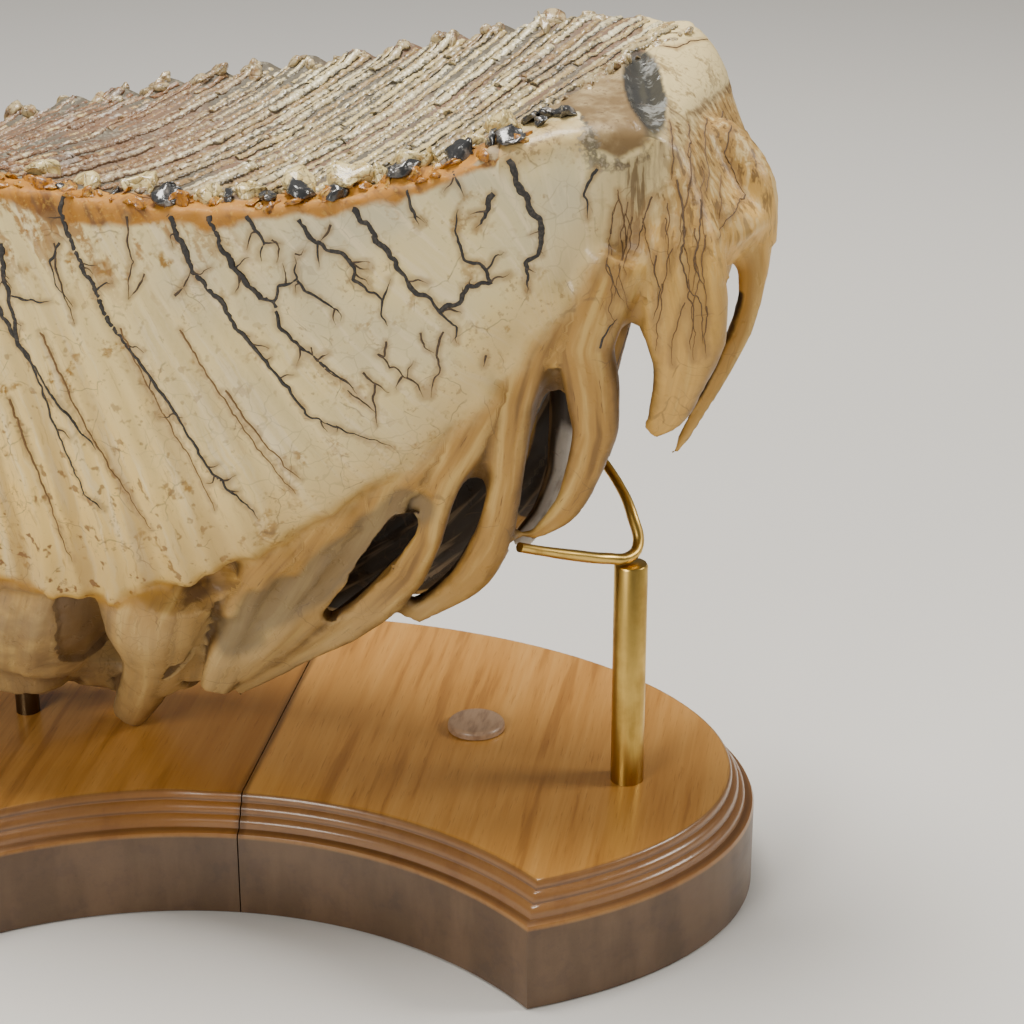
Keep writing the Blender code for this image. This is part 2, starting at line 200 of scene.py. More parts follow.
# Materials: one wrapper for a socket, with arithmetic on values

class Wire:
    def __init__(self, tree, socket=None):
        self.tree = tree
        self.socket = socket

    def make(self, kind, settings=None, values=None, out=0):
        node = self.tree.nodes.new(kind)
        for name, value in (settings or {}).items():
            if name == "stops":
                ramp = node.color_ramp
                while len(ramp.elements) < len(value):
                    ramp.elements.new(0.5)
                for stop, (place, colour) in zip(ramp.elements, value):
                    stop.position = place
                    stop.color = (*colour, 1.0) if len(colour) == 3 else colour
            else:
                setattr(node, name, value)
        for name, value in (values or {}).items():
            socket = node.inputs[name]
            if isinstance(value, Wire):
                self.tree.links.new(value.socket, socket)
            elif isinstance(value, (tuple, list)) and socket.type == "RGBA" and len(value) == 3:
                socket.default_value = (*value, 1.0)
            else:
                socket.default_value = value
        return Wire(self.tree, node.outputs[out])

    def math(self, operation, other=0.0, swap=False):
        pair = {0: other, 1: self} if swap else {0: self, 1: other}
        return self.make("ShaderNodeMath", {"operation": operation}, pair)

    def __add__(self, other):
        return self.math("ADD", other)

    def __sub__(self, other):
        return self.math("SUBTRACT", other)

    def __rsub__(self, other):
        return self.math("SUBTRACT", other, swap=True)

    def __mul__(self, other):
        return self.math("MULTIPLY", other)

    def __truediv__(self, other):
        return self.math("DIVIDE", other)

    __radd__, __rmul__ = __add__, __mul__

    def ramp(self, low, high):
        return self.make("ShaderNodeMapRange", {"interpolation_type": "SMOOTHSTEP"},
                         {"Value": self, "From Min": low, "From Max": high})

    def clip(self):
        return self.make("ShaderNodeClamp", values={"Value": self})

    def tint(self, other, share):
        # self and other are colours; share is how much of other
        return self.make("ShaderNodeMix", {"data_type": "RGBA"}, {"Factor": share, 6: self, 7: other}, out=2)

    def coated(self, tones, **layers):
        # tinted layer by layer; each layer is a tone's name and how much of it
        colour = self
        for name, share in layers.items():
            colour = colour.tint(tones[name], share)
        return colour


class Finish:
    # a Principled material and the patterns it is built from
    def __init__(self, name, **fixed):
        self.material = bpy.data.materials.new(name)
        self.material.use_nodes = True
        self.tree = self.material.node_tree
        self.shader = self.tree.nodes["Principled BSDF"]
        for key, value in fixed.items():
            self.shader.inputs[key.replace("_", " ")].default_value = value
        self.start = Wire(self.tree)
        self.place = self.start.make("ShaderNodeTexCoord", out=3)

    def attribute(self, name):
        return self.start.make("ShaderNodeAttribute", {"attribute_name": name}, out=2)

    def axis(self, number):
        # one coordinate of the place: 0 along the plinth, 1 across it, 2 upwards
        return self.start.make("ShaderNodeSeparateXYZ", values={"Vector": self.place}, out=number)

    def point(self, x, y, z):
        return self.start.make("ShaderNodeCombineXYZ", values={0: x, 1: y, 2: z})

    def blend(self, pair, share):
        # from the first colour of the pair to the second
        return self.start.make("ShaderNodeMix", {"data_type": "RGBA"},
                               {"Factor": share, 6: pair[0], 7: pair[1]}, out=2)

    def moved(self, scale=(1, 1, 1), offset=(0, 0, 0), turn=0.0):
        return self.start.make("ShaderNodeMapping", values={
            "Vector": self.place, "Location": offset, "Rotation": (0, 0, turn), "Scale": scale})

    def noise(self, where, scale, detail=4.0, rough=0.55, out=0):
        return self.start.make("ShaderNodeTexNoise", values={
            "Vector": where, "Scale": scale, "Detail": detail, "Roughness": rough}, out=out)

    def bent(self, where, scale, amount):
        # where, pushed about by noise
        push = self.noise(where, scale, 3.0, out=1)
        centred = self.start.make("ShaderNodeVectorMath", {"operation": "SUBTRACT"},
                                  {0: push, 1: (0.5, 0.5, 0.5)})
        return self.start.make("ShaderNodeVectorMath", {"operation": "MULTIPLY_ADD"},
                               {0: centred, 1: (amount, amount, amount), 2: where})

    def cellEdges(self, where, scale):
        return self.start.make("ShaderNodeTexVoronoi", {"feature": "DISTANCE_TO_EDGE"},
                               {"Vector": where, "Scale": scale})

    def bump(self, height, strength, distance):
        return self.start.make("ShaderNodeBump", values={
            "Height": height, "Strength": strength, "Distance": distance})

    def join(self, **links):
        for key, wire in links.items():
            self.tree.links.new(wire.socket, self.shader.inputs[key.replace("_", " ")])
        return self.material


# Geometry Nodes: a tree with named inputs, run once and kept as a plain mesh

class Growth:
    def __init__(self, name, inputs):
        self.tree = bpy.data.node_groups.new(name, "GeometryNodeTree")
        face = self.tree.interface
        face.new_socket(name="Geometry", in_out="OUTPUT", socket_type="NodeSocketGeometry")
        face.new_socket(name="Geometry", in_out="INPUT", socket_type="NodeSocketGeometry")
        self.ids = {}
        for label, (kind, value) in inputs.items():
            socket = face.new_socket(name=label, in_out="INPUT", socket_type="NodeSocket" + kind)
            if value is not None:
                socket.default_value = value
            self.ids[label] = socket.identifier
        self.entry = self.tree.nodes.new("NodeGroupInput")
        self.exit = self.tree.nodes.new("NodeGroupOutput")

    def given(self, label):
        return self.entry.outputs[label]

    def make(self, kind, settings=None, values=None, out=0):
        node = self.tree.nodes.new(kind)
        for name, value in (settings or {}).items():
            setattr(node, name, value)
        for name, value in (values or {}).items():
            if isinstance(value, bpy.types.NodeSocket):
                self.tree.links.new(value, node.inputs[name])
            else:
                node.inputs[name].default_value = value
        return node.outputs[out]

    def math(self, operation, *parts):
        return self.make("ShaderNodeMath", {"operation": operation}, dict(enumerate(parts)))

    def vector(self, operation, *parts):
        return self.make("ShaderNodeVectorMath", {"operation": operation}, dict(enumerate(parts)))

    def scaled(self, direction, amount):
        return self.make("ShaderNodeVectorMath", {"operation": "SCALE"}, {0: direction, "Scale": amount})

    def noise(self, where, scale, detail=2.0, out=0):
        return self.make("ShaderNodeTexNoise", values={"Vector": where, "Scale": scale, "Detail": detail},
                         out=out)

    def grit(self, where, scale, detail, amount):
        # a push to any side, by noise
        push = self.noise(where, scale, detail, out=1)
        return self.scaled(self.vector("SUBTRACT", push, (0.5, 0.5, 0.5)), amount)

    def stored(self, name, kind):
        return self.make("GeometryNodeInputNamedAttribute", {"data_type": kind}, {"Name": name})

    def keep(self, geometry, **fields):
        # captures fields on the geometry, to read them after its shape has changed
        node = self.tree.nodes.new("GeometryNodeCaptureAttribute")
        self.tree.links.new(geometry, node.inputs["Geometry"])
        for name, (kind, field) in fields.items():
            node.capture_items.new(kind, name)
            self.tree.links.new(field, node.inputs[name])
        return node.outputs

    def close(self, geometry):
        whole = self.make("GeometryNodeRealizeInstances", values={"Geometry": geometry})
        coated = self.make("GeometryNodeSetMaterial",
                           values={"Geometry": whole, "Material": self.given("Material")})
        self.tree.links.new(coated, self.exit.inputs[0])

    def run(self, guide, name, **values):
        # grows the tree on a guide and keeps the result as a plain mesh, facing outwards
        runner = guide.modifiers.new(name, "NODES")
        runner.node_group = self.tree
        for label, value in values.items():
            runner[self.ids[label]] = value
        mesh = evaluatedMesh(guide)
        mesh.name = name
        bpy.data.objects.remove(guide, do_unlink=True)
        faceOutwards(mesh)
        mesh.shade_smooth()
        print(name + ":", sum(len(f.vertices) - 2 for f in mesh.polygons), "triangles")
        return placed(name, mesh)


def guideLines(name, lines):
    # open lines as loose edges; each knot of a line is a place, an up direction, a size and a tone
    edges, first = [], 0
    for line in lines:
        edges += [(first + i, first + i + 1) for i in range(len(line) - 1)]
        first += len(line)
    places, ups, sizes, tones = zip(*(knot for line in lines for knot in line))
    mesh = bpy.data.meshes.new(name)
    mesh.from_pydata([tuple(place) for place in places], edges, [])
    for field, values in (("up", [tuple(up) for up in ups]), ("size", sizes), ("tone", tones)):
        writeValue(mesh, field, values)
    return placed(name, mesh)


def strandTree():
    # a closed strand along each guide line, square to the surface: a rope, a rib or a thin ribbon
    g = Growth("strand", {
        "Step": ("Float", 0.5 * mm), "Sides": ("Int", 6), "Rise": ("Float", 1.0), "Depth": ("Float", 0.0),
        "Lift": ("Float", 0.0), "Pitch": ("Float", 1.4 * mm), "Bite": ("Float", 0.0), "Fray": ("Float", 0.2),
        "Rough": ("Float", 0.0), "Material": ("Material", None)})
    place = g.make("GeometryNodeInputPosition")
    line = g.make("GeometryNodeMeshToCurve", values={"Mesh": g.given("Geometry")})
    line = g.make("GeometryNodeResampleCurve", {"mode": "LENGTH"}, {"Curve": line, "Length": g.given("Step")})
    along = g.make("GeometryNodeSplineParameter", out="Length")
    turns = g.math("MULTIPLY", g.math("DIVIDE", along, g.given("Pitch")), math.pi)
    drift = g.math("MULTIPLY", g.noise(place, 260.0), 9.0)
    beads = g.math("ABSOLUTE", g.math("SINE", g.math("ADD", turns, drift)))
    notch = g.math("MULTIPLY", g.math("SUBTRACT", 1.0, beads), g.given("Bite"))
    torn = g.math("MULTIPLY", g.math("SUBTRACT", g.noise(place, 900.0), 0.5), g.given("Fray"))
    share = g.math("ADD", g.math("SUBTRACT", 1.0, notch), torn)
    width = g.math("MULTIPLY", g.stored("size", "FLOAT"), share)
    rail = g.keep(line, centre=("VECTOR", place), ahead=("VECTOR", g.make("GeometryNodeInputTangent")),
                  away=("VECTOR", g.stored("up", "FLOAT_VECTOR")), width=("FLOAT", width))
    ring = g.make("GeometryNodeCurvePrimitiveCircle", {"mode": "RADIUS"},
                  {"Resolution": g.given("Sides"), "Radius": 1.0})
    section = g.keep(ring, spot=("VECTOR", place))
    tube = g.make("GeometryNodeCurveToMesh", values={
        "Curve": rail["Geometry"], "Profile Curve": section["Geometry"], "Fill Caps": True})
    spot = g.tree.nodes.new("ShaderNodeSeparateXYZ")
    g.tree.links.new(section["spot"], spot.inputs[0])
    side = g.vector("NORMALIZE", g.vector("CROSS_PRODUCT", rail["away"], rail["ahead"]))
    tall = g.math("ADD", g.given("Depth"), g.math("MULTIPLY", g.given("Rise"), rail["width"]))
    high = g.math("ADD", g.math("MULTIPLY", spot.outputs[1], tall), g.given("Lift"))
    across = g.scaled(side, g.math("MULTIPLY", spot.outputs[0], rail["width"]))
    spread = g.vector("ADD", rail["centre"], g.vector("ADD", across, g.scaled(rail["away"], high)))
    grit = g.grit(spread, 1100.0, 1.0, g.given("Rough"))
    moved = g.make("GeometryNodeSetPosition",
                   values={"Geometry": tube, "Position": g.vector("ADD", spread, grit)})
    g.close(g.make("GeometryNodeStoreNamedAttribute", {"data_type": "FLOAT", "domain": "POINT"}, {
        "Geometry": moved, "Name": "crest", "Value": spot.outputs[1]}))
    return g


def lumpTree():
    # one rough lump at each guide point, laid along the surface
    g = Growth("lumps", {
        "Rough": ("Float", 0.8 * mm), "Chunk": ("Float", 2.0 * mm), "Flat": ("Float", 0.6),
        "Grain": ("Float", 420.0), "Seed": ("Int", 4), "Detail": ("Int", 3), "Material": ("Material", None)})
    ball = g.make("GeometryNodeMeshIcoSphere", values={"Radius": 1.0, "Subdivisions": g.given("Detail")})
    stand = g.make("FunctionNodeAlignRotationToVector", {"axis": "Z"},
                   {"Vector": g.stored("up", "FLOAT_VECTOR")})
    size = g.stored("size", "FLOAT")
    wide = g.make("FunctionNodeRandomValue", {"data_type": "FLOAT"},
                  {2: 0.7, 3: 1.2, "Seed": g.given("Seed")}, out=1)
    shape = g.make("ShaderNodeCombineXYZ", values={
        0: g.math("MULTIPLY", size, wide), 1: size, 2: g.math("MULTIPLY", size, g.given("Flat"))})
    lumpy = g.make("GeometryNodeInstanceOnPoints", values={
        "Points": g.given("Geometry"), "Instance": ball, "Rotation": stand, "Scale": shape})
    whole = g.make("GeometryNodeRealizeInstances", values={"Geometry": lumpy})
    place = g.make("GeometryNodeInputPosition")
    grit = g.grit(place, g.given("Grain"), 2.0, g.given("Rough"))
    bulge = g.grit(place, g.math("MULTIPLY", g.given("Grain"), 0.42), 0.0, g.given("Chunk"))
    g.close(g.make("GeometryNodeSetPosition",
                   values={"Geometry": whole, "Offset": g.vector("ADD", grit, bulge)}))
    return g


# Plinth

plinth = {
    "halfLength": 117.6, "halfDepth": 78.8, "centreY": -8.3, "cornerX": 71.5, "waistY": -41.0,
    "seamX": -2.8, "seamGap": 0.3, "mouldingFoot": 21.0, "topHeight": 30.0, "sharpAngle": 38,
    "ovalSteps": 220, "hollowSteps": 120,
    # inset and height of each level
    "side": ((0.6, 0.0), (0.0, 0.5)),
    "moulding": (
        (0.0, 21.0), (0.35, 21.75), (1.3, 22.15), (2.1, 22.35), (2.25, 23.0), (2.3, 23.7), (2.6, 24.3),
        (3.2, 24.75), (3.75, 25.0), (3.85, 25.7), (3.95, 26.4), (4.3, 27.0), (4.9, 27.4), (5.4, 27.6),
        (5.5, 28.6), (5.75, 29.4), (6.3, 29.9), (6.9, 30.0)),
    # the moulding sits a little further back along this stretch of x
    "jog": 1.1, "jogAbove": 21.8, "jogStart": (-60.0, -40.0), "jogEnd": (-22.0, -9.0),
    # each board's side of the seam, and its grain's seed and turn
    "boards": (("Left", -1, 3, 0.03), ("Right", 1, 8, -0.05)),
}

woodTones = {
    "grain": ((0.30, (0.42, 0.165, 0.022)), (0.44, (0.58, 0.265, 0.050)), (0.54, (0.68, 0.335, 0.075)),
              (0.68, (0.78, 0.42, 0.115))),
    "flank": ((0.036, 0.020, 0.012), (0.082, 0.048, 0.028)),
    "pores": (0.26, 0.10, 0.016), "lip": (0.17, 0.075, 0.028), "joint": (0.10, 0.040, 0.008),
    # the next line holds the painted shadow of the tooth on the top and the painted shade in the moulding's
    # grooves
    "patch": (0.30, 0.115, 0.012), "groove": (0.055, 0.022, 0.008),
    "grooveHeights": (22.2, 25.35, 28.0, 29.75),
}


def ovalPoint(inset, angle):
    return ((plinth["halfLength"] - inset) * math.cos(angle),
            plinth["centreY"] + (plinth["halfDepth"] - inset) * math.sin(angle))


def plinthRing(inset):
    # one level of the plinth's outline, mitred at the two front corners
    p = plinth
    start = math.acos(p["cornerX"] / p["halfLength"])
    rise = p["waistY"] - (p["centreY"] - p["halfDepth"] * math.sin(start))
    bend = (p["cornerX"] ** 2 + rise ** 2) / (2 * rise)
    centre = p["waistY"] - bend
    for _ in range(30):     # walks the corner to where the two inset curves cross
        x, y = ovalPoint(inset, -start)
        start += 0.4 * (math.hypot(x, y - centre) - bend - inset) / p["halfLength"]
    ring = [ovalPoint(inset, -start + (math.pi + 2 * start) * i / p["ovalSteps"])
            for i in range(p["ovalSteps"] + 1)]
    x, y = ring[0]
    reach, radius = math.atan2(x, y - centre), math.hypot(x, y - centre)
    turns = (-reach + 2 * reach * i / p["hollowSteps"] for i in range(1, p["hollowSteps"]))
    return ring + [(radius * math.sin(turn), centre + radius * math.cos(turn)) for turn in turns]


def plinthShell():
    p = plinth
    rows = []
    for inset, height in (*p["side"], *p["moulding"]):
        row = []
        for x, y in plinthRing(inset):
            if height > p["jogAbove"] and y < p["centreY"] - 10 and x < 0:
                y += p["jog"] * (1 - smoothStep(*p["jogEnd"], x)) * smoothStep(*p["jogStart"], x) * (
                    height - p["mouldingFoot"]) / (p["topHeight"] - p["mouldingFoot"])
            row.append((x * mm, y * mm, height * mm))
        rows.append(row)
    count = len(rows[0])
    faces = ringFaces(len(rows), count)
    faces.append(tuple(reversed(range(count))))
    faces.append(tuple((len(rows) - 1) * count + i for i in range(count)))
    return [point for row in rows for point in row], faces


def turned(name, profile, steps, material, place=(0, 0), sharp=35):
    # a profile of (radius, height) in mm, spun round an upright axis
    verts, faces, rings = [], [], []
    for radius, height in profile:
        if radius == 0:
            rings.append([len(verts)])
            verts.append((place[0] * mm, place[1] * mm, height * mm))
            continue
        rings.append(list(range(len(verts), len(verts) + steps)))
        for i in range(steps):
            angle = 2 * math.pi * i / steps
            verts.append(((place[0] + radius * math.cos(angle)) * mm,
                          (place[1] + radius * math.sin(angle)) * mm, height * mm))
    for one, two in zip(rings, rings[1:]):
        for i in range(steps):
            j = (i + 1) % steps
            if len(one) == 1:
                faces.append((one[0], two[j], two[i]))
            elif len(two) == 1:
                faces.append((one[i], one[j], two[0]))
            else:
                faces.append((one[i], one[j], two[j], two[i]))
    piece = meshObject(name, verts, faces, material)
    faceOutwards(piece.data)
    piece.data.set_sharp_from_angle(angle=math.radians(sharp))
    return piece


def woodFinish(name, seed, turn):
    # oak with its grain running front to back, under a clear varnish
    oak = Finish(name, Coat_Weight=0.35, Coat_Roughness=0.12)
    wavy = oak.moved(scale=(1, 0.055, 1), offset=(seed * 0.37, seed * 0.11, 0), turn=turn)
    wavy = oak.bent(wavy, 12.0, 0.006)
    broad = oak.noise(wavy, 34.0, 3.0)
    growth = oak.noise(wavy, 210.0, 3.0, 0.6)
    fine = oak.noise(oak.moved(scale=(1, 0.03, 1), turn=turn), 1300.0, 3.0)
    pores = oak.noise(oak.moved(scale=(1, 0.05, 1), turn=turn), 2300.0, 2.0).ramp(0.60, 0.70)
    upright = oak.noise(oak.moved(scale=(1, 1, 0.25)), 70.0, 4.0)
    grain = broad * 0.3 + growth * 0.5 + fine * 0.2
    along, height = oak.axis(0), oak.axis(2)
    moulding = height.ramp(20.5 * mm, 22.0 * mm)
    side = 1 - moulding
    # dirt along the joint between the boards, and the tooth's shadow painted on the top to its left
    joint = (along - plinth["seamX"] * mm).math("ABSOLUTE") + (growth - 0.5) * 2.0 * mm
    patch = along.ramp(-46 * mm, -8 * mm) * (1 - along.ramp(-4 * mm, -2.6 * mm)) * (1 - side)
    base = grain.make("ShaderNodeValToRGB", {"stops": woodTones["grain"]}, {"Fac": grain})
    base = base.tint(woodTones["pores"], (growth.ramp(0.44, 0.36) * 0.45 * 0.65 + pores * 0.35).clip())
    base = base.tint(oak.blend(woodTones["flank"], upright.ramp(0.4, 0.65)), side * 0.92)
    base = base.coated(
        woodTones,
        lip=moulding * (1 - height.ramp(29.4 * mm, 29.98 * mm)) * 0.85,
        joint=(1 - joint.ramp(0.6 * mm, 2.0 * mm)) * (1 - side) * 0.75,
        patch=patch * 0.55)
    for level in woodTones["grooveHeights"]:    # painted shade in the moulding's grooves
        groove = 1 - ((height - level * mm).math("ABSOLUTE") * (1 / (0.42 * mm))).clip()
        base = base.tint(woodTones["groove"], groove * 0.6)
    relief = fine * 0.3 - pores * 0.5
    return oak.join(Base_Color=base, Roughness=0.26 + fine * 0.12 + side * 0.16,
                    Normal=oak.bump(relief, 0.2, 0.2 * mm))


def buildPlinth():
    boards = []
    for name, sign, seed, turn in plinth["boards"]:
        board = meshObject("plinthBoard" + name, *plinthShell(), woodFinish("oak" + name, seed, turn))
        edge = (plinth["seamX"] + sign * plinth["seamGap"] / 2) * mm
        shape = bmesh.new()
        shape.from_mesh(board.data)
        bmesh.ops.recalc_face_normals(shape, faces=shape.faces)
        cut = bmesh.ops.bisect_plane(shape, geom=shape.verts[:] + shape.edges[:] + shape.faces[:],
                                     plane_co=(edge, 0, 0), plane_no=(-sign, 0, 0), clear_outer=True)
        rim = [part for part in cut["geom_cut"] if isinstance(part, bmesh.types.BMEdge)]
        bmesh.ops.contextual_create(shape, geom=rim)
        bmesh.ops.recalc_face_normals(shape, faces=shape.faces)
        bmesh.ops.triangulate(shape, faces=[f for f in shape.faces if len(f.verts) > 4])
        shape.to_mesh(board.data)
        shape.free()
        board.data.shade_smooth()
        board.data.set_sharp_from_angle(angle=math.radians(plinth["sharpAngle"]))
        boards.append(board)
    return boards


# Brass

brassWork = {
    "postRadius": 3.97, "postPlace": (87.2, -14.0), "postFoot": 20.3, "postTop": 87.0, "postSteps": 64,
    "pegRadius": 3.0, "pegPlace": (-67.0, -2.0), "pegTop": 41.3, "pegDome": 1.4, "pegSteps": 40,
    "wireRadius": 1.35, "tipShare": 0.85, "sharpAngle": 50,
    "wireRoute": ((64.4, -36.6, 99.3), (68.6, -31.8, 96.6), (75.5, -24.5, 92.7), (82.0, -18.0, 89.55),
                  (86.6, -14.6, 88.65), (88.4, -11.0, 90.25), (86.6, -7.6, 96.2), (83.2, -2.6, 101.0),
                  (74.2, 6.9, 108.6)),
    # colour and how much of it is tarnished; the peg's dark colour is partly painted shade for the tooth's
    # shadow it stands in
    "bright": ((0.66, 0.44, 0.115), 0.55), "dark": ((0.16, 0.11, 0.06), 0.8), "stain": (0.42, 0.24, 0.07),
}


def dimmed(tone, *shares):
    return tuple(part * share for part, share in zip(tone, shares))


def brassFinish(name, tone, tarnish):
    metal = Finish(name, Metallic=1.0)
    streaks = metal.noise(metal.moved(scale=(1, 1, 0.12)), 260.0, 4.0)
    clouds = metal.noise(metal.place, 90.0, 5.0, 0.6)
    fine = metal.noise(metal.moved(scale=(1, 1, 0.05)), 2400.0, 2.0)
    dull = (clouds * 0.6 + streaks * 0.5).ramp(0.48, 0.72) * tarnish
    # painted reflection: the brass is darker towards its foot, for the dark surroundings it reflects
    foot = 1 - metal.axis(2).ramp(24 * mm, 62 * mm)
    base = metal.blend((tone, dimmed(tone, 0.45, 0.38, 0.3)), dull)
    base = base.tint(brassWork["stain"], streaks.ramp(0.62, 0.8) * 0.35)
    base = base.tint(dimmed(tone, 0.4, 0.33, 0.22), foot * (0.35 + streaks.ramp(0.4, 0.6) * 0.35))
    return metal.join(Base_Color=base, Roughness=0.24 + dull * 0.30 + fine * 0.12,
                      Normal=metal.bump(fine + clouds, 0.12, 0.1 * mm))


def buildBrass():
    b = brassWork
    # the peg's brass is made dark, partly as painted shade for the tooth's shadow it stands in
    bright, dark = brassFinish("dullBrass", *b["bright"]), brassFinish("shadedPeg", *b["dark"])
    r, top, foot = b["postRadius"], b["postTop"], b["postFoot"]
    profile = ((0, top), (r - 0.9, top), (r - 0.3, top - 0.15), (r, top - 0.6), (r, foot), (0, foot))
    post = turned("postRight", profile, b["postSteps"], bright, b["postPlace"])
    r, top, dome = b["pegRadius"], b["pegTop"], b["pegDome"]
    head = [(r * math.sin(a), top - dome + dome * math.cos(a)) for a in np.linspace(0, math.pi / 2, 8)[1:]]
    peg = turned("pegLeft", ((0, top), *head, (r, foot), (0, foot)), b["pegSteps"], dark, b["pegPlace"])
    last = len(b["wireRoute"]) - 1
    knots = [(Vector(place) * mm, 1.0 if 1 < i < last - 1 else b["tipShare"])
             for i, place in enumerate(b["wireRoute"])]
    fork = joinGrown("forkWire", [tubeCurve("forkRoute", knots, b["wireRadius"] * mm, 5, 12)])
    fork.data.materials.append(bright)
    fork.data.shade_smooth()
    fork.data.set_sharp_from_angle(angle=math.radians(b["sharpAngle"]))
    return post, peg, fork


# Button plug

button = {
    "radius": 7.15, "stem": 4.7, "height": 1.9, "gap": 0.3, "edge": 1.1, "place": (47.0, 6.0), "foot": 20.3,
    "steps": 72, "tones": ((0.40, 0.26, 0.16), (0.26, 0.16, 0.095)),
}


def buildButton():
    finish = Finish("darkButton", Coat_Weight=0.25, Coat_Roughness=0.2)
    cloud = finish.noise(finish.moved(scale=(1, 0.2, 1)), 700.0, 4.0)
    base = finish.blend(button["tones"], cloud.ramp(0.4, 0.7))
    material = finish.join(Base_Color=base, Roughness=0.34 + cloud * 0.2,
                           Normal=finish.bump(cloud, 0.15, 0.1 * mm))
    r, stem, foot, edge = (button[key] for key in ("radius", "stem", "foot", "edge"))
    low = plinth["topHeight"] + button["gap"]
    top = low + button["height"]
    rim = [(r - edge + edge * math.sin(a), top - edge + edge * math.cos(a))
           for a in np.linspace(0, math.pi / 2, 7)]
    profile = ((0, top), (r * 0.35, top), (r * 0.7, top), *rim, (r, low), (stem, low), (stem, foot),
               (0, foot))
    return turned("buttonPlug", profile, button["steps"], material, button["place"])


# Tooth

